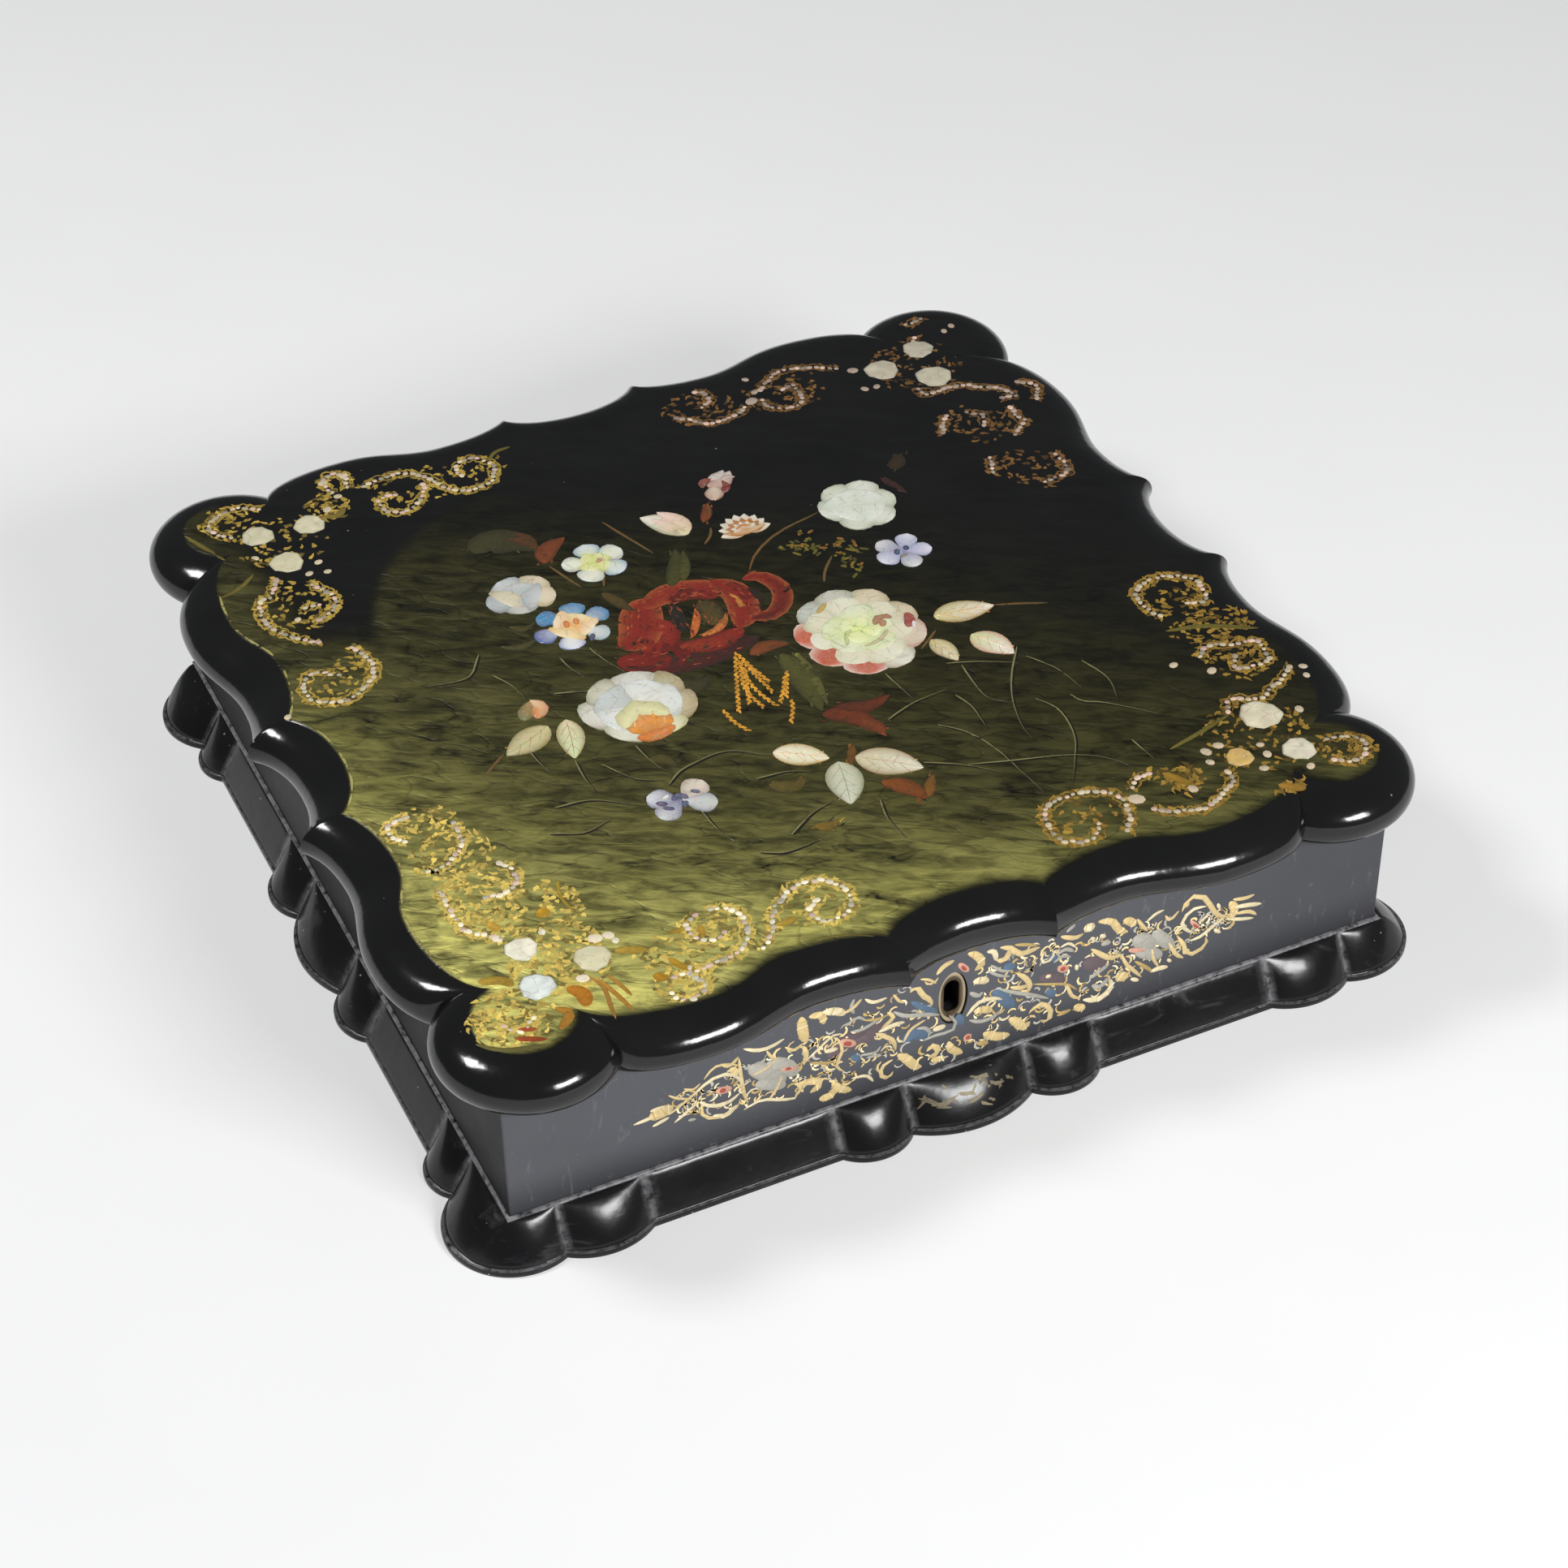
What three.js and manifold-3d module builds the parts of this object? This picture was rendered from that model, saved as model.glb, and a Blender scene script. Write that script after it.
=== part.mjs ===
import * as THREE from 'three';
import { mergeVertices } from 'three/addons/utils/BufferGeometryUtils.js';
import Module from 'manifold-3d';

// Papier-mache sewing box: a square black box on a lobed plinth, under a scalloped lid
// with a rolled rim, set with thin pieces of mother-of-pearl, and an oval brass keyhole
// plate in the front wall. Millimetres, +Z up, front wall facing -Y.

// Heights, from the underside up
const FLOOR_TOP = 6;
const WALL_BOTTOM = 15.75;
const WALL_TOP = 63;
const RIM_WIDEST = 69.25;
const LID_TOP = 78.5;

// Box walls
const HALF_WIDTH = 150;
const WALL_THICKNESS = 6;
const HALF_INSIDE = HALF_WIDTH - WALL_THICKNESS;

// Lid: thickness of the flat top over the recess on its underside
const LID_TOP_THICKNESS = 6;

// Lid outlines at three heights. Along one side, measured from its middle, the edge
// goes from a hollow at the middle to a sharp cusp, a dip, a shoulder and the notch
// beside the corner lobe. Each point is [along the side, out from the wall face]. The
// left and right sides stand out a little further than the front and back. The corner
// lobe is the arc from notch to notch over a peak on the diagonal.
const LID_FOOT = {
  front: { middle: 0.8, cusp: [25, 3], dip: [52, 1], shoulder: [86, 3.5] },
  side: { middle: 1.4, cusp: [25, 4.5], dip: [52, 2], shoulder: [86, 4.5] },
  notch: [114.5, 0.8],
  lobePeak: 214,
};
const LID_WIDEST = {
  front: { middle: 4.2, cusp: [24.5, 12.6], dip: [50, 6.8], shoulder: [87, 14] },
  side: { middle: 7.2, cusp: [25.5, 15.8], dip: [50, 9.8], shoulder: [87, 16] },
  notch: [114.8, 5.8],
  lobePeak: 219.3,
};
const LID_FLAT_EDGE = {
  front: { middle: -6.7, cusp: [26, 1.8], dip: [54, -4.8], shoulder: [85, 2.4] },
  side: { middle: -6.5, cusp: [26, 2.4], dip: [54, -4.6], shoulder: [85, 2.7] },
  notch: [119.5, -9.5],
  lobePeak: 207.3,
};
const LID_SIDE_STEPS = { hollow: 5, fall: 4, rise: 5, drop: 5 };
const LID_LOBE_STEPS = 12;
const RIM_STEPS_BELOW = 3;
const RIM_STEPS_ABOVE = 6;

// Plinth: how far its lower edge stands out from the wall face, plain and at the lobes
const PLINTH_OUT = 8.4;
const MIDDLE_LOBE = { half: 20.7, out: 14.8 };
const SMALL_LOBE = { end: 44.9, out: 13.8 };
const CORNER_SMALL_LOBE_OUT = 13;
const FRONT_CORNER = { smallLobeStart: 107.7, cornerLobeStart: 135.9 };
const SIDE_CORNER = { smallLobeStart: 101, cornerLobeStart: 121 };
const CORNER_LOBE_PEAK = 222;
const MIDDLE_LOBE_STEPS = 8;
const SMALL_LOBE_STEPS = 5;
const CORNER_LOBE_STEPS = 12;
const LOBE_FULLNESS = 0.6;
const PLAIN_EASE = 2.5;
const PLINTH_EDGE_HEIGHT = 2.25;
const PLINTH_STEP_HEIGHT = 3;
const PLINTH_STEP_IN = 0.9;
const PLINTH_TOP_OUT = 0.5;
const PLINTH_SLOPE_STEPS = 5;
const PLAIN_BULGE = 0.35;

// Keyhole plate: an oval set just below the face of the front wall, a little left of
// its middle
const KEYHOLE_CENTRE = { x: -3.7, z: 43.5 };
const PLATE_HALF = { x: 4.8, z: 10.2 };
const PLATE_GAP = 0.35;
const PLATE_FRONT_DEPTH = 0.5;
const PLATE_THICKNESS = 1.25;
const SLOT_HALF = { x: 2.5, z: 6.2 };
const SLOT_GAP = 0.3;
const OVAL_STEPS = 12;
const SLOT_END_STEPS = 4;

// Mother-of-pearl pieces: thin plates on the flat of the lid
const PEARL_THICKNESS = 0.5;
const ROUNDEL_CORNERS = 8;
const ROUNDEL_UNEVENNESS = 0.05;
const ROUNDEL_WAVES = 3;
const ROUNDEL_TURN_STEP = 17;
const BLOSSOM_POINTS = 26;
const FEWEST_PETAL_POINTS = 4;
const PETAL_ROUNDNESS = 0.7;
const LEAF_STEPS = 7;
const LEAF_WIDEST = 0.8;
const LEAF_BLUNTNESS = 0.75;

// Corner clusters: [name, x, y, radius], three cut roundels at each corner
const ROUNDELS = [
  ['front_left', -125.3, -108.3, 5.2],
  ['front_left', -108, -121, 5.8],
  ['front_left', -127.2, -125.3, 5.6],
  ['back_left', -127.7, 126.5, 5.8],
  ['back_left', -109.5, 125.3, 5.6],
  ['back_left', -123.7, 107.6, 6],
  ['back_right', 109.6, 124.6, 6.4],
  ['back_right', 124.6, 112.3, 6.8],
  ['back_right', 127.7, 131.2, 5.8],
  ['front_right', 126.5, -109.5, 7.2],
  ['front_right', 109.5, -124.9, 4.6],
  ['front_right', 128.2, -129.6, 5.6],
];

// Bouquet blossoms: centre, half sizes, number of petals, how deep the edge is cut
// between two petals, and how far the ring of petals is turned
const BLOSSOMS = {
  rose_right: { x: 32.6, y: -13, halfX: 21.5, halfY: 24, petals: 9, cut: 0.1, turn: 10 },
  rose_left: { x: -48.2, y: -17.4, halfX: 19.2, halfY: 17.8, petals: 7, cut: 0.13, turn: 25 },
  blue_flower: { x: -50.8, y: 31.2, halfX: 14, halfY: 12.5, petals: 6, cut: 0.34, turn: 12 },
  grey_flower: { x: -59.8, y: 54.9, halfX: 12.5, halfY: 10.5, petals: 5, cut: 0.22, turn: 40 },
  cream_flower: { x: -30.3, y: 61, halfX: 11.5, halfY: 11, petals: 5, cut: 0.3, turn: 18 },
  pink_bud: { x: -1, y: 70, halfX: 6.5, halfY: 8.5, petals: 3, cut: 0.12, turn: 30 },
  orange_bud: { x: 22.7, y: 59.6, halfX: 10, halfY: 6.5, petals: 4, cut: 0.14, turn: 45 },
  dusky_bud: { x: 26.7, y: 84, halfX: 7.2, halfY: 8.5, petals: 4, cut: 0.2, turn: 20 },
  white_rose: { x: 63.9, y: 51.6, halfX: 13.8, halfY: 15, petals: 6, cut: 0.14, turn: 0 },
  star_flower: { x: 65.5, y: 20.6, halfX: 10, halfY: 10, petals: 5, cut: 0.36, turn: 55 },
  bud_left: { x: -80, y: -4.3, halfX: 4.8, halfY: 5, petals: 3, cut: 0.12, turn: 90 },
  butterfly_flower: { x: -55, y: -66.7, halfX: 13.4, halfY: 8.4, petals: 4, cut: 0.4, turn: 45 },
};

// Bouquet leaves: centre, length, width and direction of the tip from +X
const LEAVES = {
  leaf_right_upper: { x: 68, y: -19, length: 21, width: 11, angle: -8 },
  leaf_right_middle: { x: 52.5, y: -35, length: 14, width: 7.5, angle: -78 },
  leaf_right_lower: { x: 68, y: -39, length: 17, width: 11, angle: -62 },
  leaf_left_outer: { x: -87, y: -18.4, length: 19, width: 11, angle: 205 },
  leaf_left_inner: { x: -74.5, y: -23.6, length: 20, width: 9, angle: -104 },
  leaf_low_cream: { x: -12.8, y: -63.4, length: 18, width: 10.5, angle: -35 },
  leaf_low_left: { x: -6.6, y: -81.6, length: 21, width: 12, angle: -105 },
  leaf_low_right: { x: 10.4, y: -78.8, length: 22, width: 13, angle: -40 },
};

const LACQUER = new THREE.MeshStandardMaterial({ color: 0x17181a, roughness: 0.18, metalness: 0 });
const SATIN_LACQUER = new THREE.MeshStandardMaterial({ color: 0x1d1e20, roughness: 0.4, metalness: 0 });
const BRASS = new THREE.MeshStandardMaterial({ color: 0xb09a6c, roughness: 0.35, metalness: 1 });
const PEARL = new THREE.MeshStandardMaterial({ color: 0xdcdcc8, roughness: 0.25, metalness: 0 });

const manifoldLibrary = await Module();
manifoldLibrary.setup();

const degrees = THREE.MathUtils.degToRad;

// Turns a closed geometry into a solid that can be cut.
function solidFrom(geometry) {
  const bare = geometry.clone();
  bare.deleteAttribute('normal');
  bare.deleteAttribute('uv');
  const merged = mergeVertices(bare);
  const mesh = new manifoldLibrary.Mesh({
    numProp: 3,
    vertProperties: new Float32Array(merged.attributes.position.array),
    triVerts: new Uint32Array(merged.index.array),
  });
  return new manifoldLibrary.Manifold(mesh);
}

function geometryFrom(solid) {
  const mesh = solid.getMesh();
  const geometry = new THREE.BufferGeometry();
  geometry.setAttribute('position', new THREE.BufferAttribute(mesh.vertProperties, 3));
  geometry.setIndex(new THREE.BufferAttribute(mesh.triVerts, 1));
  return geometry;
}

function block(halfX, halfY, bottom, top) {
  const geometry = new THREE.BoxGeometry(2 * halfX, 2 * halfY, top - bottom);
  geometry.translate(0, 0, (top + bottom) / 2);
  return geometry;
}

// Closed solid over a stack of rings with equally many points, lowest ring first and
// each ring anticlockwise seen from above. Both ends are fans around the Z axis.
function loft(rings) {
  const count = rings[0].length;
  const positions = rings.flat().flatMap((point) => [point.x, point.y, point.z]);
  const footCentre = rings.length * count;
  const crownCentre = footCentre + 1;
  positions.push(0, 0, rings[0][0].z, 0, 0, rings[rings.length - 1][0].z);
  const faces = [];
  for (let i = 0; i < count; i += 1) {
    const next = (i + 1) % count;
    for (let level = 0; level + 1 < rings.length; level += 1) {
      const low = level * count;
      const high = low + count;
      faces.push(low + i, low + next, high + next, low + i, high + next, high + i);
    }
    const last = (rings.length - 1) * count;
    faces.push(footCentre, next, i, crownCentre, last + i, last + next);
  }
  const geometry = new THREE.BufferGeometry();
  geometry.setAttribute('position', new THREE.Float32BufferAttribute(positions, 3));
  geometry.setIndex(faces);
  return geometry;
}

function bezier(start, startHandle, endHandle, end, steps) {
  const points = [start, startHandle, endHandle, end].map(([along, out]) => new THREE.Vector2(along, out));
  return new THREE.CubicBezierCurve(...points).getPoints(steps);
}

// Half of one side of a lid outline, from the middle to the notch, as (along, out). Each
// curve's handles lie level with its ends, or part of the way to them at the cusp and notch.
function lidHalfSide({ middle, cusp, dip, shoulder }, notch) {
  const cuspFoot = [0.84 * cusp[0], 0.55 * middle + 0.45 * cusp[1]];
  const hollow = [[0, middle], [0.5 * cusp[0], middle], cuspFoot, cusp];
  const fall = [cusp, [cusp[0] + 5, 0.4 * cusp[1] + 0.6 * dip[1]], [dip[0] - 12, dip[1]], dip];
  const rise = [dip, [dip[0] + 14, dip[1]], [shoulder[0] - 16, shoulder[1]], shoulder];
  const notchBrow = [notch[0] - 4, 0.3 * notch[1] + 0.7 * shoulder[1]];
  const drop = [shoulder, [shoulder[0] + 13, shoulder[1]], notchBrow, notch];
  return [
    ...bezier(...hollow, LID_SIDE_STEPS.hollow).slice(0, -1),
    ...bezier(...fall, LID_SIDE_STEPS.fall).slice(0, -1),
    ...bezier(...rise, LID_SIDE_STEPS.rise).slice(0, -1),
    ...bezier(...drop, LID_SIDE_STEPS.drop),
  ];
}

// Whole side of a lid outline along -Y, from the left notch to the right one.
function lidSide(sizes, notch) {
  const half = lidHalfSide(sizes, notch);
  return [
    ...half.slice(1).reverse().map((point) => new THREE.Vector2(-point.x, -HALF_WIDTH - point.y)),
    ...half.map((point) => new THREE.Vector2(point.x, -HALF_WIDTH - point.y)),
  ];
}

// Points inside an arc from one end to the other over a point between them, without the ends.
function arcBetween(start, over, end, steps) {
  const centre = circleCentre(start, over, end);
  const radius = centre.distanceTo(start);
  const from = Math.atan2(start.y - centre.y, start.x - centre.x);
  const to = Math.atan2(end.y - centre.y, end.x - centre.x);
  const sweep = (to - from + 4 * Math.PI) % (2 * Math.PI);
  const points = [];
  for (let i = 1; i < steps; i += 1) {
    const angle = from + (sweep * i) / steps;
    points.push(new THREE.Vector2(centre.x + radius * Math.cos(angle), centre.y + radius * Math.sin(angle)));
  }
  return points;
}

function circleCentre(a, b, c) {
  const twiceArea = 2 * (a.x * (b.y - c.y) + b.x * (c.y - a.y) + c.x * (a.y - b.y));
  const x = a.lengthSq() * (b.y - c.y) + b.lengthSq() * (c.y - a.y) + c.lengthSq() * (a.y - b.y);
  const y = a.lengthSq() * (c.x - b.x) + b.lengthSq() * (a.x - c.x) + c.lengthSq() * (b.x - a.x);
  return new THREE.Vector2(x / twiceArea, y / twiceArea);
}

// Whole lid outline, anticlockwise: each side and the corner lobe that follows it.
function lidOutline({ front, side, notch, lobePeak }) {
  const peak = new THREE.Vector2(1, -1).setLength(lobePeak);
  return [front, side, front, side].flatMap((sizes, turn) => {
    const points = lidSide(sizes, notch);
    const start = points[points.length - 1];
    const end = new THREE.Vector2(-start.y, -start.x);
    const quarter = [...points, ...arcBetween(start, peak, end, LID_LOBE_STEPS)];
    return quarter.map((point) => turned(point, turn));
  });
}

// A point turned about the Z axis by whole quarter turns.
function turned(point, quarterTurns) {
  let result = point;
  for (let i = 0; i < quarterTurns; i += 1) {
    result = new THREE.Vector2(-result.y, result.x);
  }
  return result;
}

function ringBetween(inner, outer, share, height) {
  return outer.map((point, i) => {
    const blended = inner[i].clone().lerp(point, share);
    return new THREE.Vector3(blended.x, blended.y, height);
  });
}

// Lid: a rolled rim that tucks back under to the walls, a flat top, a hollow underside.
function makeLid() {
  const foot = lidOutline(LID_FOOT);
  const widest = lidOutline(LID_WIDEST);
  const flatEdge = lidOutline(LID_FLAT_EDGE);
  const rings = [];
  for (let step = 0; step < RIM_STEPS_BELOW; step += 1) {
    const angle = (Math.PI / 2) * (1 - step / RIM_STEPS_BELOW);
    const height = RIM_WIDEST - (RIM_WIDEST - WALL_TOP) * Math.sin(angle);
    rings.push(ringBetween(foot, widest, Math.cos(angle), step === 0 ? WALL_TOP : height));
  }
  for (let step = 0; step <= RIM_STEPS_ABOVE; step += 1) {
    const angle = (Math.PI / 2) * (step / RIM_STEPS_ABOVE);
    const height = RIM_WIDEST + (LID_TOP - RIM_WIDEST) * Math.sin(angle);
    rings.push(ringBetween(flatEdge, widest, Math.cos(angle), height));
  }
  const recess = block(HALF_INSIDE, HALF_INSIDE, WALL_TOP - 1, LID_TOP - LID_TOP_THICKNESS);
  return geometryFrom(solidFrom(loft(rings)).subtract(solidFrom(recess)));
}

// A point of the front side, by its place along the wall and out from its face.
function atFront(along, out) {
  return new THREE.Vector2(along, -HALF_WIDTH - out);
}

// Lobe of the plinth: stations along its lower edge, each with its place at the wall
// above it and how far the slope between them bulges.
function lobeStations(start, peak, end, wallAt, steps) {
  const edgePoints = [start, ...arcBetween(start, peak, end, steps)];
  return edgePoints.map((edge, i) => {
    const share = i / steps;
    return { edge, wall: wallAt(share), bulge: Math.sin(Math.PI * share) ** LOBE_FULLNESS };
  });
}

function sideLobeStations(from, to, out, steps) {
  const wallAt = (share) => atFront(from + (to - from) * share, PLINTH_TOP_OUT);
  const peak = atFront((from + to) / 2, out);
  return lobeStations(atFront(from, PLINTH_OUT), peak, atFront(to, PLINTH_OUT), wallAt, steps);
}

// Plain stretch between lobes: creased where the last lobe ends and even from there on.
function plainStations(from, to) {
  const places = [from, from + PLAIN_EASE, (from + to) / 2, to - PLAIN_EASE];
  return places.map((along, i) => ({
    edge: atFront(along, PLINTH_OUT),
    wall: atFront(along, PLINTH_TOP_OUT),
    bulge: i === 0 ? 0 : PLAIN_BULGE,
  }));
}

function cornerLobeStations(start, end) {
  const reach = HALF_WIDTH + PLINTH_TOP_OUT;
  const wallCorner = new THREE.Vector2(reach, -reach);
  const wallStart = new THREE.Vector2(start.x, -reach);
  const wallEnd = new THREE.Vector2(reach, end.y);
  const wallAt = (share) => (share < 0.5
    ? wallStart.clone().lerp(wallCorner, share * 2)
    : wallCorner.clone().lerp(wallEnd, share * 2 - 1));
  const peak = new THREE.Vector2(1, -1).setLength(CORNER_LOBE_PEAK);
  return lobeStations(start, peak, end, wallAt, CORNER_LOBE_STEPS);
}

// One side of the plinth, laid along -Y, with the corner lobe at its right-hand end.
// The corner lobe ends where the small lobe of the next side begins.
function plinthQuarter(here, next) {
  const rightCreases = [MIDDLE_LOBE.half, SMALL_LOBE.end, here.smallLobeStart, here.cornerLobeStart];
  const leftCreases = rightCreases.map((along) => -along).reverse();
  const creases = [...leftCreases, ...rightCreases];
  const cornerStart = atFront(here.cornerLobeStart, PLINTH_OUT);
  const cornerEnd = new THREE.Vector2(HALF_WIDTH + PLINTH_OUT, -next.cornerLobeStart);
  return [
    ...sideLobeStations(creases[0], creases[1], CORNER_SMALL_LOBE_OUT, SMALL_LOBE_STEPS),
    ...plainStations(creases[1], creases[2]),
    ...sideLobeStations(creases[2], creases[3], SMALL_LOBE.out, SMALL_LOBE_STEPS),
    ...sideLobeStations(creases[3], creases[4], MIDDLE_LOBE.out, MIDDLE_LOBE_STEPS),
    ...sideLobeStations(creases[4], creases[5], SMALL_LOBE.out, SMALL_LOBE_STEPS),
    ...plainStations(creases[5], creases[6]),
    ...sideLobeStations(creases[6], creases[7], CORNER_SMALL_LOBE_OUT, SMALL_LOBE_STEPS),
    ...cornerLobeStations(cornerStart, cornerEnd),
  ];
}

// Plinth: a lobed board with a stepped edge and a sloping upper face, hollowed inside
// the walls down to the floor of the box.
function makePlinth() {
  const quarters = [
    plinthQuarter(FRONT_CORNER, SIDE_CORNER),
    plinthQuarter(SIDE_CORNER, FRONT_CORNER),
    plinthQuarter(FRONT_CORNER, SIDE_CORNER),
    plinthQuarter(SIDE_CORNER, FRONT_CORNER),
  ];
  const stations = quarters.flatMap((quarter, turn) => quarter.map((station) => ({
    edge: turned(station.edge, turn),
    wall: turned(station.wall, turn),
    bulge: station.bulge,
  })));
  const rings = [plinthRing(stations, 0, () => 1), plinthRing(stations, PLINTH_EDGE_HEIGHT, () => 1)];
  const stepShare = 1 - PLINTH_STEP_IN / PLINTH_OUT;
  for (let step = 0; step <= PLINTH_SLOPE_STEPS; step += 1) {
    const rise = step / PLINTH_SLOPE_STEPS;
    const height = PLINTH_STEP_HEIGHT + (WALL_BOTTOM - PLINTH_STEP_HEIGHT) * rise;
    const shareOut = (station) => stepShare * slopeShare(rise, station.bulge);
    rings.push(plinthRing(stations, height, shareOut));
  }
  const recess = block(HALF_INSIDE, HALF_INSIDE, FLOOR_TOP, WALL_BOTTOM + 1);
  return geometryFrom(solidFrom(loft(rings)).subtract(solidFrom(recess)));
}

// Share of the way out to the lower edge at a height: a straight slope where there is
// no bulge and a quarter round where the bulge is full.
function slopeShare(rise, bulge) {
  return (1 - bulge) * (1 - rise) + bulge * Math.sqrt(1 - rise * rise);
}

function plinthRing(stations, height, shareOut) {
  return stations.map((station) => {
    const point = station.wall.clone().lerp(station.edge, shareOut(station));
    return new THREE.Vector3(point.x, point.y, height);
  });
}

function oval(halfX, halfZ) {
  return new THREE.Path().absellipse(0, 0, halfX, halfZ, 0, 2 * Math.PI).getPoints(OVAL_STEPS);
}

function slot(halfX, halfZ) {
  const straight = halfZ - halfX;
  const path = new THREE.Path();
  path.moveTo(halfX, -straight);
  path.lineTo(halfX, straight);
  path.absarc(0, straight, halfX, 0, Math.PI);
  path.lineTo(-halfX, -straight);
  path.absarc(0, -straight, halfX, Math.PI, 2 * Math.PI);
  return path.getPoints(SLOT_END_STEPS).slice(0, -1);
}

// Upright plate in the plane of the front wall, its back face at the given Y.
function uprightPlate(outline, hole, thickness, backFaceY) {
  const shape = new THREE.Shape(outline);
  if (hole) {
    shape.holes.push(new THREE.Path(hole));
  }
  const geometry = new THREE.ExtrudeGeometry(shape, { depth: thickness, bevelEnabled: false });
  geometry.rotateX(Math.PI / 2);
  geometry.translate(KEYHOLE_CENTRE.x, backFaceY, KEYHOLE_CENTRE.z);
  return geometry;
}

// Four walls in one piece, with the keyhole through the front and a shallow oval seat
// for its plate.
function makeWalls() {
  const outside = solidFrom(block(HALF_WIDTH, HALF_WIDTH, WALL_BOTTOM, WALL_TOP));
  const inside = solidFrom(block(HALF_INSIDE, HALF_INSIDE, WALL_BOTTOM - 1, WALL_TOP + 1));
  const seatBack = -HALF_WIDTH + PLATE_FRONT_DEPTH + PLATE_THICKNESS;
  const seatOutline = oval(PLATE_HALF.x + PLATE_GAP, PLATE_HALF.z + PLATE_GAP);
  const seat = uprightPlate(seatOutline, null, seatBack + HALF_WIDTH + 1, seatBack);
  const slotOutline = slot(SLOT_HALF.x + SLOT_GAP, SLOT_HALF.z + SLOT_GAP);
  const keyhole = uprightPlate(slotOutline, null, WALL_THICKNESS + 2, -HALF_INSIDE + 1);
  return geometryFrom(outside.subtract(inside).subtract(solidFrom(seat)).subtract(solidFrom(keyhole)));
}

function makeKeyholePlate() {
  const seatBack = -HALF_WIDTH + PLATE_FRONT_DEPTH + PLATE_THICKNESS;
  const outline = oval(PLATE_HALF.x, PLATE_HALF.z);
  return uprightPlate(outline, slot(SLOT_HALF.x, SLOT_HALF.z), PLATE_THICKNESS, seatBack);
}

// Thin plate of shell on the flat of the lid.
function pearlPlate(outline) {
  const geometry = new THREE.ExtrudeGeometry(new THREE.Shape(outline), {
    depth: PEARL_THICKNESS,
    bevelEnabled: false,
  });
  geometry.translate(0, 0, LID_TOP);
  return geometry;
}

// Hand-cut roundel: a near-round polygon whose corners stand slightly in and out.
function roundelOutline(x, y, radius, turn) {
  const points = [];
  for (let i = 0; i < ROUNDEL_CORNERS; i += 1) {
    const angle = degrees(turn) + (2 * Math.PI * i) / ROUNDEL_CORNERS;
    const reach = radius * (1 + ROUNDEL_UNEVENNESS * Math.sin(ROUNDEL_WAVES * angle + turn));
    points.push(new THREE.Vector2(x + reach * Math.cos(angle), y + reach * Math.sin(angle)));
  }
  return points;
}

// Blossom: petals side by side around the edge, with a rounded cut between them.
function blossomOutline({ x, y, halfX, halfY, petals, cut, turn }) {
  const pointsPerPetal = Math.max(FEWEST_PETAL_POINTS, Math.round(BLOSSOM_POINTS / petals));
  const count = petals * pointsPerPetal;
  const points = [];
  for (let i = 0; i < count; i += 1) {
    const angle = (2 * Math.PI * i) / count;
    const lift = Math.abs(Math.sin((petals * (angle - degrees(turn))) / 2));
    const reach = 1 - cut * (1 - lift ** PETAL_ROUNDNESS);
    points.push(new THREE.Vector2(x + halfX * reach * Math.cos(angle), y + halfY * reach * Math.sin(angle)));
  }
  return points;
}

// Leaf: widest before the middle, pointed at the tip and blunt at the stem.
function leafOutline({ x, y, length, width, angle }) {
  const steps = LEAF_STEPS;
  const halfWidthAt = (share) => (width / 2) * Math.sin(Math.PI * share ** LEAF_WIDEST) ** LEAF_BLUNTNESS;
  const along = (share) => length * (share - 0.5);
  const points = [];
  for (let i = 0; i <= steps; i += 1) {
    points.push(new THREE.Vector2(along(i / steps), -halfWidthAt(i / steps)));
  }
  for (let i = steps - 1; i > 0; i -= 1) {
    points.push(new THREE.Vector2(along(i / steps), halfWidthAt(i / steps)));
  }
  const origin = new THREE.Vector2();
  return points.map((point) => point.rotateAround(origin, degrees(angle)).add(new THREE.Vector2(x, y)));
}

function named(name, geometry, material) {
  const mesh = new THREE.Mesh(geometry, material);
  mesh.name = name;
  return mesh;
}

const sewingBox = new THREE.Group();
sewingBox.add(named('plinth', makePlinth(), LACQUER));
sewingBox.add(named('walls', makeWalls(), SATIN_LACQUER));
sewingBox.add(named('keyhole_plate', makeKeyholePlate(), BRASS));
sewingBox.add(named('lid', makeLid(), LACQUER));

ROUNDELS.forEach(([corner, x, y, radius], i) => {
  const outline = roundelOutline(x, y, radius, ROUNDEL_TURN_STEP * i);
  sewingBox.add(named(`pearl_${corner}_${(i % 3) + 1}`, pearlPlate(outline), PEARL));
});
Object.entries(BLOSSOMS).forEach(([name, sizes]) => {
  sewingBox.add(named(`pearl_${name}`, pearlPlate(blossomOutline(sizes)), PEARL));
});
Object.entries(LEAVES).forEach(([name, sizes]) => {
  sewingBox.add(named(`pearl_${name}`, pearlPlate(leafOutline(sizes)), PEARL));
});

export default sewingBox;
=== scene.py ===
import math
import random

import bmesh
import bpy
from mathutils import Matrix, Vector, noise


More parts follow.
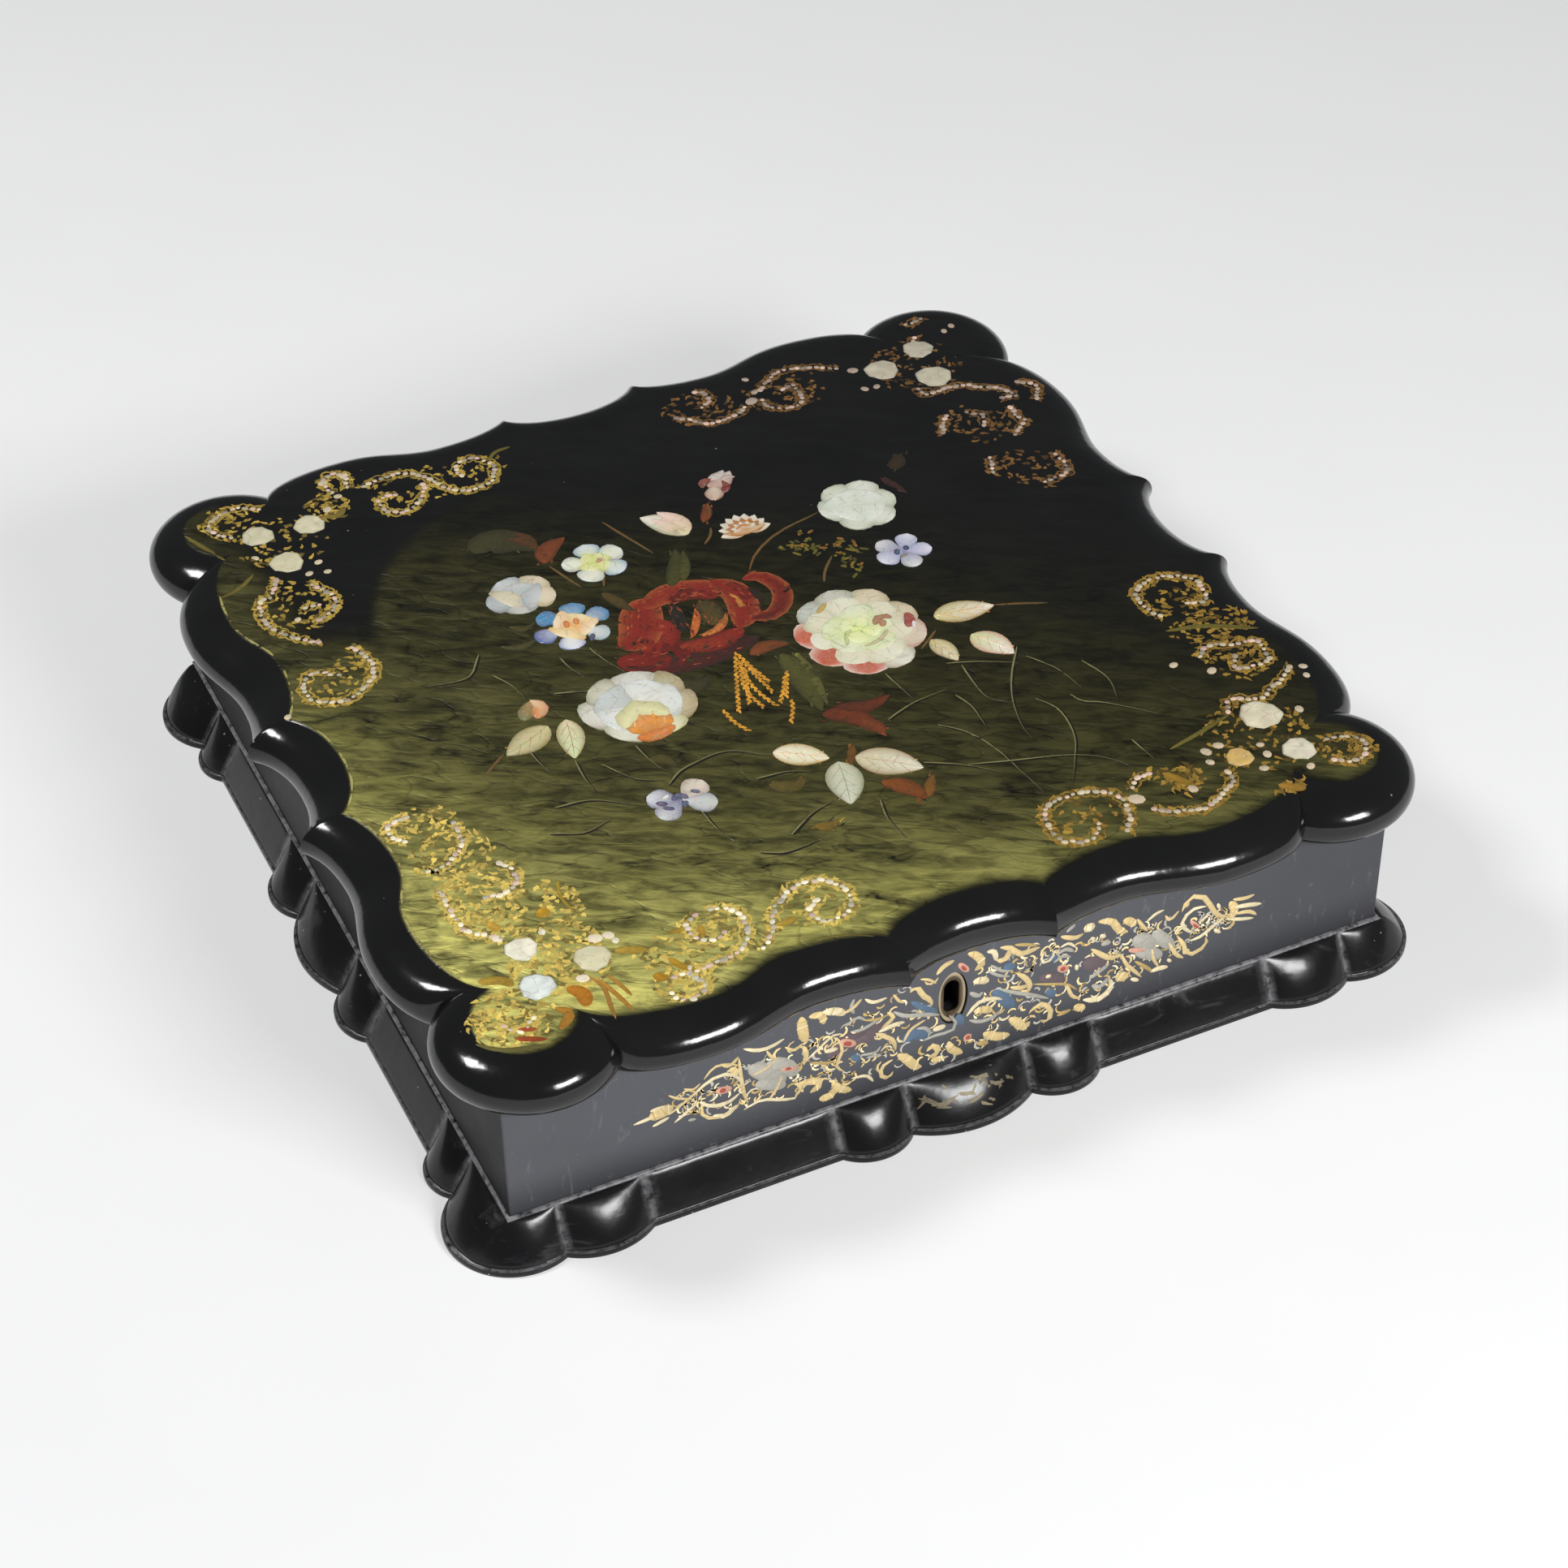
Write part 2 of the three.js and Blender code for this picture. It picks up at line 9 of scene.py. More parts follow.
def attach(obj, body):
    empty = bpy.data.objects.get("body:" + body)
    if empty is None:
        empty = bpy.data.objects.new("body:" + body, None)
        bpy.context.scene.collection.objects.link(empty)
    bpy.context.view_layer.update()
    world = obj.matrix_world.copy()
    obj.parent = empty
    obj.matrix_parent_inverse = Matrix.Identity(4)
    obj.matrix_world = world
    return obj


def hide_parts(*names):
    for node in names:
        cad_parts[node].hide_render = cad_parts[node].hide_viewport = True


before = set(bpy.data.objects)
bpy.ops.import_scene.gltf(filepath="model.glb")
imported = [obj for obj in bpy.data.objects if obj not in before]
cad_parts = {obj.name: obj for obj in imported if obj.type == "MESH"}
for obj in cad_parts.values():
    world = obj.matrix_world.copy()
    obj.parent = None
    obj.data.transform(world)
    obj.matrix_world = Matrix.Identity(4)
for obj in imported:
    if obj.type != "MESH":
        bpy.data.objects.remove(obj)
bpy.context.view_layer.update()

# Sizes are in millimetres until a piece is finished.
METRES = 0.001
WELD = 0.002
FLOOR_TOP = 6.0
WALL_BOTTOM = 15.75
WALL_TOP = 63.0
RIM_WIDEST = 69.25
LID_TOP = 78.5
HALF_WIDTH = 150.0
HALF_INSIDE = 144.0
WALL_ROUNDING = 0.8
LID_UNDERSIDE = 72.5
PEARL_TOP = 0.48
MARK_LIFT = 0.47

# Lid outlines, as in the solid model: along one side from its middle, and out from the wall
LID_FOOT = {
    "front": ((0, 0.8), (25, 3), (52, 1), (86, 3.5)),
    "side": ((0, 1.4), (25, 4.5), (52, 2), (86, 4.5)),
    "notch": (114.5, 0.8),
    "peak": 214.0,
}
LID_WIDEST = {
    "front": ((0, 4.2), (24.5, 12.6), (50, 6.8), (87, 14)),
    "side": ((0, 7.2), (25.5, 15.8), (50, 9.8), (87, 16)),
    "notch": (114.8, 5.8),
    "peak": 219.24,
}
LID_FLAT_EDGE = {
    "front": ((0, -6.7), (26, 1.8), (54, -4.8), (85, 2.4)),
    "side": ((0, -6.5), (26, 2.4), (54, -4.6), (85, 2.7)),
    "notch": (119.5, -9.5),
    "peak": 207.3,
}
HOLLOW_STEPS = 24
FALL_STEPS = 22
RISE_STEPS = 30
DROP_STEPS = 26
HALF_LOBE_STEPS = 22
SIDE_STEPS = 2 * (HOLLOW_STEPS + FALL_STEPS + RISE_STEPS + DROP_STEPS + HALF_LOBE_STEPS)
RIM_STEPS_BELOW = 8
RIM_STEPS_ABOVE = 12

# Plinth, as in the solid model
PLINTH_OUT = 8.4
MIDDLE_LOBE = (20.7, 14.8)
SMALL_LOBE = (44.9, 13.8)
CORNER_SMALL_LOBE_OUT = 13.0
FRONT_CORNER = (107.7, 135.9)
SIDE_CORNER = (101.0, 121.0)
CORNER_LOBE_PEAK = 221.94
PLINTH_TOP_OUT = 0.5
LOBE_FULLNESS = 0.45
PLAIN_FULLNESS = 0.2
SMALL_LOBE_STEPS = 22
MIDDLE_LOBE_STEPS = 36
CORNER_LOBE_STEPS = 56
PLAIN_EDGE_STEPS = 30
SLOPE_STEPS = 16
SLOPE_FOOT = 3.0
SLOPE_REACH = 0.893
BEAD_STEPS_A_SIDE = 20

KEYHOLE = (-3.7, 43.5)
PLATE_HALF = (4.8, 10.2)
PLATE_GAP = 0.35
PLATE_DEPTH = 0.5
PLATE_THICKNESS = 1.25
SLOT_HALF = (2.5, 6.2)
SLOT_GAP = 0.3

# Steps and counts of the decoration
CURVE_STEPS = 12
SLIVER_SINK = 0.3
DOT_SPACING = 2.35
GRAIN_SPACING = 1.15
POPPY_STROKES = 16
FRONT_HOOKS = 480
PLINTH_STROKES = 34
GRAIN_TURN = math.radians(31)

dice = random.Random(7)


# Shader sums
class Flow:
    """A socket's value in a finish, which Python sums turn into nodes."""

    def __init__(self, finish, socket):
        self.finish = finish
        self.socket = socket

    def math(self, operation, first, second):
        return self.finish.node("ShaderNodeMath", {"operation": operation}, {0: first, 1: second})

    def __add__(self, other):
        return self.math("ADD", self, other)

    def __radd__(self, other):
        return self.math("ADD", other, self)

    def __sub__(self, other):
        return self.math("SUBTRACT", self, other)

    def __rsub__(self, other):
        return self.math("SUBTRACT", other, self)

    def __mul__(self, other):
        return self.math("MULTIPLY", self, other)

    def __rmul__(self, other):
        return self.math("MULTIPLY", other, self)

    def step(self, low, high):
        """Rises smoothly from 0 at low to 1 at high."""
        settings = {"interpolation_type": "SMOOTHSTEP"}
        return self.finish.node("ShaderNodeMapRange", settings, {0: self, 1: low, 2: high})


class Finish:
    """A material under construction: a Principled shader and the nodes that feed it."""

    def __init__(self, name, **constants):
        self.material = bpy.data.materials.new(name)
        self.material.use_nodes = True
        self.tree = self.material.node_tree
        self.shader = self.tree.nodes["Principled BSDF"]
        for socket, value in constants.items():
            self.shader.inputs[socket.replace("_", " ")].default_value = value

    def node(self, kind, settings, inputs, output=0):
        made = self.tree.nodes.new(kind)
        for name, value in settings.items():
            setattr(made, name, value)
        for key, value in inputs.items():
            self.feed(made.inputs[key], value)
        return Flow(self, made.outputs[output])

    def feed(self, socket, value):
        if isinstance(value, Flow):
            self.tree.links.new(value.socket, socket)
        else:
            socket.default_value = value

    def set(self, **inputs):
        for name, value in inputs.items():
            self.feed(self.shader.inputs[name.replace("_", " ")], value)

    def place(self, scale=(1, 1, 1), turn=0.0):
        """Object coordinates in millimetres, turned about Z, times a scale."""
        where = self.node("ShaderNodeTexCoord", {}, {}, "Object")
        if turn:
            where = self.node("ShaderNodeMapping", {}, {"Vector": where, "Rotation": (0, 0, turn)})
        size = tuple(s / METRES for s in scale)
        return self.node("ShaderNodeMapping", {}, {"Vector": where, "Scale": size})

    def noise(self, size, detail=3.0, roughness=0.5, distortion=0.0, stretch=(1, 1, 1), turn=0.0):
        """Cloudy pattern around 0.5, its lumps about size millimetres across."""
        inputs = {"Vector": self.place(stretch, turn), "Scale": 1 / size, "Detail": detail}
        inputs.update({"Roughness": roughness, "Distortion": distortion})
        return self.node("ShaderNodeTexNoise", {}, inputs)

    def fold(self, size, width, stretch=(1, 1, 1), turn=0.0):
        """1 along thin wandering lines, as in crumpled silk, and 0 between them."""
        wander = self.noise(size, 2, 0.5, 0.5, stretch, turn) - 0.5
        return 1 - self.node("ShaderNodeMath", {"operation": "ABSOLUTE"}, {0: wander}).step(0.0, width)

    def cracks(self, size):
        """Distance from the nearest crack between cells of about size millimetres."""
        inputs = {"Vector": self.place(), "Scale": 1 / size}
        return self.node("ShaderNodeTexVoronoi", {"feature": "DISTANCE_TO_EDGE"}, inputs)

    def specks(self, spacing, radius, share):
        """1 inside sparse round specks, 0 elsewhere."""
        inputs = {"Vector": self.place(), "Scale": 1 / spacing}
        near = self.node("ShaderNodeTexVoronoi", {}, inputs)
        pick = self.node("ShaderNodeTexVoronoi", {}, inputs, "Color")
        chance = self.node("ShaderNodeSeparateColor", {}, {0: pick})
        inside = 1 - near.step(0.6 * radius / spacing, radius / spacing)
        return inside * (1 - chance.step(share, share + 0.02))

    def mix(self, share, first, second, blend="MIX"):
        first, second = (c if isinstance(c, Flow) else (*c, 1) for c in (first, second))
        settings = {"data_type": "RGBA", "blend_type": blend}
        return self.node("ShaderNodeMix", settings, {0: share, 6: first, 7: second}, 2)

    def shaded(self, tone):
        """The tint's colour, made lighter and darker by tone."""
        grey = self.node("ShaderNodeCombineColor", {}, {0: tone, 1: tone, 2: tone})
        return self.mix(1.0, self.tint(), grey, "MULTIPLY")

    def tint(self, output="Color"):
        return self.node("ShaderNodeAttribute", {"attribute_name": "tint"}, {}, output)

    def bump(self, height, depth, under=None):
        inputs = {"Height": height, "Strength": 1.0, "Distance": depth * METRES}
        if under:
            inputs["Normal"] = under
        return self.node("ShaderNodeBump", {}, inputs)


def lin(red, green, blue):
    """A colour given as 0 to 255 display values."""
    return tuple(((c / 255 + 0.055) / 1.055) ** 2.4 if c > 10 else c / 3295 for c in (red, green, blue))


# Finishes
def gloss_finish(name, shine):
    """Black gloss lacquer with smears and specks; the tint's alpha adds a light grey painted highlight.
    """
    made = Finish(name, Specular_IOR_Level=shine, Coat_Weight=0.06, Coat_Roughness=0.12)
    cloud = made.noise(22, 4)
    smear = made.noise(7, 4, 0.65, 0.8, (0.35, 0.35, 1.0)).step(0.56, 0.74)
    dirt = made.specks(3.2, 0.3, 0.22) * made.noise(14, 2).step(0.42, 0.62) + made.specks(7.0, 0.42, 0.2)
    # Painted highlight: light grey where the tint's alpha is set, broken up by noise
    painted_highlight = made.tint("Alpha") * made.noise(2.4, 4, 0.6).step(0.25, 0.65)
    black = made.mix(cloud, lin(13, 13, 14), lin(26, 26, 27))
    black = made.mix(0.35 * smear, black, lin(58, 58, 60))
    black = made.mix(painted_highlight, black, lin(128, 128, 130))
    made.set(Base_Color=made.mix(0.8 * dirt, black, lin(176, 170, 158)))
    made.set(Roughness=0.16 + 0.1 * cloud + 0.22 * smear + 0.3 * dirt + 0.3 * painted_highlight)
    made.set(Normal=made.bump(made.noise(9, 2) + 0.10 * made.noise(1.6, 3), 0.16))
    return made.material


def wall_finish():
    """Satin black: grey on the front and painted darker on the other sides as painted shade; painted
    shade also darkens the front towards its foot and towards the right.
    """
    made = Finish("satin_black_wall", Specular_IOR_Level=0.12)
    cloud = made.noise(30, 5, 0.6)
    fine = made.noise(1.1, 4, 0.6)
    where = made.node("ShaderNodeTexCoord", {}, {}, "Object")
    across, along, high = (made.node("ShaderNodeSeparateXYZ", {}, {0: where}, axis) for axis in "XYZ")
    front = 1 - along.step(-0.1498, -0.1492)
    handled = made.noise(12, 5, 0.65, 0.6, (0.5, 1.0, 1.0))
    dirt = made.specks(4.0, 0.24, 0.16) * 0.4
    scratch = made.noise(3.5, 5, 0.7, 1.2, (1.0, 1.0, 0.25)).step(0.60, 0.66) * 0.25
    grey = made.mix(cloud, lin(74, 75, 79), lin(90, 91, 95))
    grey = made.mix(0.5 * handled, grey, lin(84, 85, 90))
    # Painted shade: the front darker towards its foot, where it reflects the black plinth
    grey = made.mix(0.7 * (1 - high.step(0.015, 0.032)), grey, lin(36, 36, 39))
    # Painted shade: the front darker towards the right
    grey = made.mix(0.5 * across.step(0.0, 0.17), grey, lin(44, 44, 47))
    # Painted shade: the other sides painted darker than the front
    side = made.mix(cloud, lin(24, 24, 25), lin(36, 36, 38))
    tone = made.mix(front, side, grey)
    tone = made.mix(scratch * (0.3 + 0.7 * front), tone, lin(118, 118, 122))
    made.set(Base_Color=made.mix(dirt, tone, lin(170, 165, 155)))
    made.set(Roughness=0.36 + 0.14 * handled + 0.1 * fine)
    made.set(Normal=made.bump(made.noise(11, 2) + 0.10 * fine, 0.10))
    return made.material


def pearl_finish():
    """Mother-of-pearl, clouded, crazed and partly overpainted in the tint's colour."""
    made = Finish("mother_of_pearl", Coat_Weight=0.4, Coat_Roughness=0.08)
    cloud = made.noise(4.5, 4, 0.6, 0.7)
    lustre = made.noise(2.6, 2, 0.5, 1.5)
    tone = made.mix(0.5 * cloud.step(0.35, 0.7), made.tint(), lin(206, 204, 190))
    tone = made.mix(0.22, made.tint(), tone)
    tone = made.mix(0.16 * lustre.step(0.5, 0.7), tone, lin(236, 190, 200))
    tone = made.mix(0.14 * (1 - lustre.step(0.32, 0.5)), tone, lin(170, 214, 190))
    craze = (1 - made.cracks(5.5).step(0.0, 0.06)) * cloud.step(0.4, 0.7)
    dirt = made.noise(1.6, 4, 0.7).step(0.58, 0.72) * 0.4 + 0.4 * craze
    made.set(Base_Color=made.mix(dirt, tone, lin(112, 96, 66)))
    made.set(Roughness=0.22 + 0.25 * cloud + 0.2 * dirt)
    made.set(Normal=made.bump(cloud + 0.2 * lustre - 0.4 * craze, 0.07))
    return made.material


def paint_finish():
    """Oil paint in the tint's colour, streaked, and rubbed through to the ground in places."""
    made = Finish("bouquet_paint", Coat_Weight=0.25, Coat_Roughness=0.12)
    streak = made.noise(1.7, 5, 0.65, 1.0)
    rubbed = made.noise(3.0, 5, 0.7, 0.4).step(0.54, 0.68) * 0.75
    tone = made.shaded(0.55 + 0.9 * streak)
    made.set(Base_Color=made.mix(rubbed, tone, lin(52, 50, 34)))
    made.set(Roughness=0.34 + 0.2 * streak)
    made.set(Normal=made.bump(streak, 0.12))
    return made.material


def gilt_finish(name, worn):
    """Gilt in the tint's colour, uneven, with the dark ground showing where it is worn."""
    made = Finish(name, Metallic=0.25)
    cloud = made.noise(1.4, 4, 0.65)
    tone = made.shaded(0.65 + 0.7 * cloud)
    gone = made.noise(2.1, 5, 0.7).step(0.60 - worn, 0.74 - worn) * 0.85
    made.set(Base_Color=made.mix(gone, tone, lin(70, 62, 42)))
    made.set(Roughness=0.36 + 0.24 * cloud)
    made.set(Normal=made.bump(cloud, 0.10))
    return made.material


# Shapes
def sheet(bm, columns, rows, place, paint=None):
    """Adds a grid and puts each corner at place(share across, share along)."""
    made = bmesh.ops.create_grid(bm, x_segments=columns, y_segments=rows, size=1)["verts"]
    tint = bm.verts.layers.float_color.get("tint")
    for vert in made:
        across, along = (vert.co.x + 1) / 2, (vert.co.y + 1) / 2
        vert.co = place(across, along)
        if paint:
            vert[tint] = paint(across, along)


def new_bmesh():
    bm = bmesh.new()
    bm.verts.layers.float_color.new("tint")
    return bm


def finish_piece(bm, name, material, stands_for=(), crease=50):
    """Merges, turns outwards, brings to metres and puts the piece on the object."""
    bmesh.ops.remove_doubles(bm, verts=bm.verts, dist=WELD)
    bmesh.ops.dissolve_degenerate(bm, edges=bm.edges, dist=WELD)
    bmesh.ops.recalc_face_normals(bm, faces=bm.faces)
    for edge in bm.edges:
        edge.smooth = edge.calc_face_angle(0) < math.radians(crease)
    for face in bm.faces:
        face.smooth = True
    bmesh.ops.scale(bm, vec=(METRES,) * 3, verts=bm.verts)
    mesh = bpy.data.meshes.new(name)
    bm.to_mesh(mesh)
    bm.free()
    mesh.materials.append(material)
    piece = bpy.data.objects.new(name, mesh)
    bpy.context.scene.collection.objects.link(piece)
    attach(piece, "root")
    if stands_for:
        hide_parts(*stands_for)


def smooth(value, low, high):
    share = min(1.0, max(0.0, (value - low) / (high - low)))
    return share * share * (3 - 2 * share)


def bezier(points, steps):
    """Points along a cubic curve, without the last one."""
    start, first, second, end = (Vector(p) for p in points)
    made = []
    for i in range(steps):
        t = i / steps
        near = (1 - t) ** 3 * start + 3 * t * (1 - t) ** 2 * first
        made.append(near + 3 * t * t * (1 - t) * second + t ** 3 * end)
    return made


def arc(start, over, end, steps):
    """Points on the arc from start over a middle point to end, without the last one."""
    ax, ay, bx, by, cx, cy = *start, *over, *end
    twice = 2 * (ax * (by - cy) + bx * (cy - ay) + cx * (ay - by))
    a, b, c = ax * ax + ay * ay, bx * bx + by * by, cx * cx + cy * cy
    centre = Vector(((a * (by - cy) + b * (cy - ay) + c * (ay - by)) / twice,
                     (a * (cx - bx) + b * (ax - cx) + c * (bx - ax)) / twice))
    from_angle = math.atan2(ay - centre.y, ax - centre.x)
    sweep = (math.atan2(cy - centre.y, cx - centre.x) - from_angle) % math.tau
    radius = (Vector(start) - centre).length
    angles = (from_angle + sweep * i / steps for i in range(steps))
    return [centre + radius * Vector((math.cos(a), math.sin(a))) for a in angles]


def turned(point, quarters):
    for _ in range(quarters):
        point = Vector((-point.y, point.x))
    return point


# Lid
def lid_side(sizes, notch):
    """One side along -Y from the left notch to the right one, without the right notch."""
    middle, cusp, dip, shoulder = sizes
    m, ca, co, da, do, sa, so, na, no = middle[1], *cusp, *dip, *shoulder, *notch
    half = bezier(((0, m), (0.5 * ca, m), (0.84 * ca, 0.55 * m + 0.45 * co), cusp), HOLLOW_STEPS)
    half += bezier((cusp, (ca + 5, 0.4 * co + 0.6 * do), (da - 12, do), dip), FALL_STEPS)
    half += bezier((dip, (da + 14, do), (sa - 16, so), shoulder), RISE_STEPS)
    half += bezier((shoulder, (sa + 13, so), (na - 4, 0.3 * no + 0.7 * so), notch), DROP_STEPS)
    left = [Vector((-p.x, -HALF_WIDTH - p.y)) for p in half[1:] + [Vector(notch)]]
    return left[::-1] + [Vector((p.x, -HALF_WIDTH - p.y)) for p in half]


def lid_outline(sizes):
    """The outline anticlockwise, from the peak of the front left lobe."""
    peak = Vector((1, -1)) * sizes["peak"] / math.sqrt(2)
    points = []
    for quarter, key in enumerate(("front", "side", "front", "side")):
        side = lid_side(sizes[key], sizes["notch"])
        end = Vector((sizes["notch"][0], -HALF_WIDTH - sizes["notch"][1]))
        lobe = arc(end, peak, (-end.y, -end.x), 2 * HALF_LOBE_STEPS)
        points += [turned(p, quarter) for p in side + lobe]
    return points[-HALF_LOBE_STEPS:] + points[:-HALF_LOBE_STEPS]


def ground_height(x, y):
    """Wrinkles of the painted ground under its varnish, and how high they stand."""
    warp = 5 * noise.noise(Vector((x / 38, y / 30, 4)))
    length = x * math.cos(GRAIN_TURN) - y * math.sin(GRAIN_TURN)
    across = x * math.sin(GRAIN_TURN) + y * math.cos(GRAIN_TURN) + warp
    wide = noise.noise(Vector((length / 18, across / 6.0, 1)))
    fine = noise.noise(Vector((length / 9.0, across / 2.8, 7)))
    ridge = 1 - abs(noise.noise(Vector((x / 20 + warp / 9, y / 13, 11)))) * 2
    calm = 0.4 + 0.6 * smooth(-x - 0.6 * y, -60, 90)
    return min(0.2, calm * (0.34 * wide + 0.14 * fine) + 0.10 * ridge ** 5 - 0.05)


def ground_tint(x, y, inset):
    """Bronze ground, dark at the back and right, with a painted reflection that brightens it towards the
    front left corner and along the front.
    """
    east, north = x + HALF_WIDTH, y + HALF_WIDTH
    # Painted reflection: a bright pool over the front left corner
    painted_corner_reflection = 1.35 * math.exp(-east * north / 3600) * math.exp(-(east / 195) ** 2 - (north / 135) ** 2)
    # The ground's own faint bronze, fading out towards the back right as painted shade
    ground_with_painted_fade = smooth(-0.6 * x - 0.55 * y, -90, 85)
    corner = math.hypot(x + 40, y - 47) if x < -40 and y > 47 else 0
    patch = 0.5 + 0.5 * noise.noise(Vector((x / 30, y / 22, 3)))
    # Painted reflection along the front edge, and a faint lift over the front part of the top
    front = 0.05 * math.exp(-((y + 118) / 22) ** 2 - ((x + 50) / 45) ** 2)
    painted_front_reflection = 0.009 * smooth(-y, -120, -50)
    amount = 0.42 * painted_corner_reflection + front + painted_front_reflection + 0.046 * ground_with_painted_fade * (0.7 + 0.6 * patch)
    amount *= 1 - 0.8 * smooth(corner, 66, 73) * smooth(x, -143, -126) * smooth(y, 46, 68)
    amount *= smooth(inset, 0.0, 1.8)
    return (amount, 0.93 * amount, 0.24 * amount + 0.04 * amount * patch, smooth(amount, 0.002, 0.035))


def make_lid():
    foot, widest, flat = (lid_outline(sizes) for sizes in (LID_FOOT, LID_WIDEST, LID_FLAT_EDGE))
    count = len(flat)
    n = SIDE_STEPS
    bm = new_bmesh()
    front, right = flat[:n + 1], flat[n:2 * n + 1]
    back, left = flat[2 * n:3 * n + 1][::-1], (flat[3 * n:] + flat[:1])[::-1]

    # The flat top fills the outline like a stretched cloth, and its wrinkles stand up from it.
    def top(across, along):
        i, j = round(across * n), round(along * n)
        flat_point = (1 - along) * front[i] + along * back[i]
        flat_point = flat_point + (1 - across) * left[j] + across * right[j]
        corners = (1 - along) * ((1 - across) * front[0] + across * front[n])
        flat_point -= corners + along * ((1 - across) * back[0] + across * back[n])
        inset = min(i, j, n - i, n - j) * 1.15
        return (*flat_point, LID_TOP + ground_height(*flat_point) * smooth(inset, 0.5, 5))

    def top_tint(across, along):
        i, j = round(across * n), round(along * n)
        spot = top(across, along)
        return ground_tint(spot[0], spot[1], min(i, 0.28 * j, n - i, n - j) * 1.15)

    sheet(bm, n, n, top, top_tint)

    def rim_point(i, level):
        if level < RIM_STEPS_BELOW:
            angle = math.pi / 2 * (1 - level / RIM_STEPS_BELOW)
            spot = foot[i].lerp(widest[i], math.cos(angle))
            return (*spot, RIM_WIDEST - (RIM_WIDEST - WALL_TOP) * math.sin(angle))
        angle = math.pi / 2 * (level - RIM_STEPS_BELOW) / RIM_STEPS_ABOVE
        spot = flat[i].lerp(widest[i], math.cos(angle))
        return (*spot, RIM_WIDEST + (LID_TOP - RIM_WIDEST) * math.sin(angle))

    levels = RIM_STEPS_BELOW + RIM_STEPS_ABOVE

    def around(share):
        return round(share * count) % count

    def bare(share, along):
        return (0, 0, 0, 0)

    sheet(bm, count, levels, lambda a, b: rim_point(around(a), round(b * levels)), bare)

    # Underside: a band from the walls' line in to the recess, the recess and its ceiling
    def recess_point(i):
        side, step = divmod(i, n)
        square = Vector((-1, -1)).lerp(Vector((1, -1)), step / n) * HALF_INSIDE
        return turned(square, side)

    def underside(share, level):
        i = around(share)
        if level == 0:
            return (*foot[i], WALL_TOP)
        return (*recess_point(i), WALL_TOP if level < 1 else LID_UNDERSIDE)

    sheet(bm, count, 2, underside, bare)
    bmesh.ops.remove_doubles(bm, verts=bm.verts, dist=WELD)
    open_edges = [e for e in bm.edges if e.is_boundary]
    bmesh.ops.holes_fill(bm, edges=open_edges, sides=0)
    finish_piece(bm, "lid_shell", lid_finish(), ["lid"])


def lid_finish():
    """Black lacquer, and the bronze ground where the tint's alpha says so."""
    made = Finish("lid_lacquer", Specular_IOR_Level=0.4, Coat_Weight=0.12, Coat_Roughness=0.08)
    bronze = made.tint("Alpha")
    wide = made.noise(15.0, 3, 0.5, 0.6, (0.5, 1.0, 1.0), GRAIN_TURN)
    streak = made.noise(4.6, 4, 0.6, 0.8, (0.32, 1.0, 1.0), GRAIN_TURN)
    grain = made.noise(1.5, 3, 0.6, 0.4, (0.28, 1.0, 1.0), GRAIN_TURN)
    crease = made.fold(13.0, 0.022, (0.42, 1.0, 1.0), GRAIN_TURN)
    # Partly the bronze's own uneven tone, partly a painted highlight on the raised wrinkles and painted
    # shade along the folds, from the same noise as the bump
    tone = 0.26 + 0.55 * wide.step(0.3, 0.7) + 0.95 * streak.step(0.32, 0.68)
    tone = tone + 0.8 * (grain - 0.5) - 0.28 * crease
    dirt = made.specks(5.5, 0.26, 0.12) * 0.5 + made.specks(11.0, 0.45, 0.2) * 0.5
    black = made.mix(made.noise(25, 3), lin(13, 13, 14), lin(25, 25, 25))
    lacquer = made.mix(dirt, black, lin(170, 160, 140))
    made.set(Base_Color=made.mix(bronze, lacquer, made.shaded(tone)))
    made.set(Metallic=0.35 * bronze)
    made.set(Roughness=0.14 + bronze * (0.26 + 0.2 * streak) + 0.3 * dirt)
    polish = 0.5 * made.noise(10, 2) + 0.05 * made.noise(1.5, 2)
    wrinkle = 1.5 * wide + 1.2 * streak + 0.4 * grain - 0.35 * crease
    made.set(Normal=made.bump(polish * (1 - bronze) + wrinkle * bronze, 0.45))
    return made.material


# Plinth
def at_front(along, out):
    return Vector((along, -HALF_WIDTH - out))


def lobe_stations(start, peak, end, wall_at, steps):
    """Places along a lobe: lower edge, wall above it, how full the slope is, painted highlight in the
    crease.
    """
    points = arc(start, peak, end, steps)
    painted_highlight = [1.0, 0.35] + [0.0] * (steps - 3) + [0.35]
    fullness = [LOBE_FULLNESS * math.sin(math.pi * i / steps) ** 0.6 for i in range(steps)]
    return [(p, wall_at(i / steps), fullness[i], painted_highlight[i]) for i, p in enumerate(points)]


def side_lobe(begin, stop, out, steps):
    def wall_at(share):
        return at_front(begin + (stop - begin) * share, PLINTH_TOP_OUT)

    ends = at_front(begin, PLINTH_OUT), at_front(stop, PLINTH_OUT)
    return lobe_stations(ends[0], at_front((begin + stop) / 2, out), ends[1], wall_at, steps)


def plain_edge(begin, stop):
    made = []
    for i in range(PLAIN_EDGE_STEPS):
        place = begin + (stop - begin) * (i / PLAIN_EDGE_STEPS)
        ease = smooth(min(place - begin, stop - place), 0, 3)
        lower, wall = at_front(place, PLINTH_OUT), at_front(place, PLINTH_TOP_OUT)
        # The last value is a painted highlight in the creases at both ends of the plain edge
        made.append((lower, wall, PLAIN_FULLNESS * ease, 0.8 * (1 - ease)))
    return made


def corner_lobe(start, end, steps):
    reach = HALF_WIDTH + PLINTH_TOP_OUT
    corner = Vector((reach, -reach))

    def wall_at(share):
        if share < 0.5:
            return Vector((start.x, -reach)).lerp(corner, share * 2)
        return corner.lerp(Vector((reach, end.y)), share * 2 - 1)

    return lobe_stations(start, Vector((1, -1)) * CORNER_LOBE_PEAK / math.sqrt(2), end, wall_at, steps)


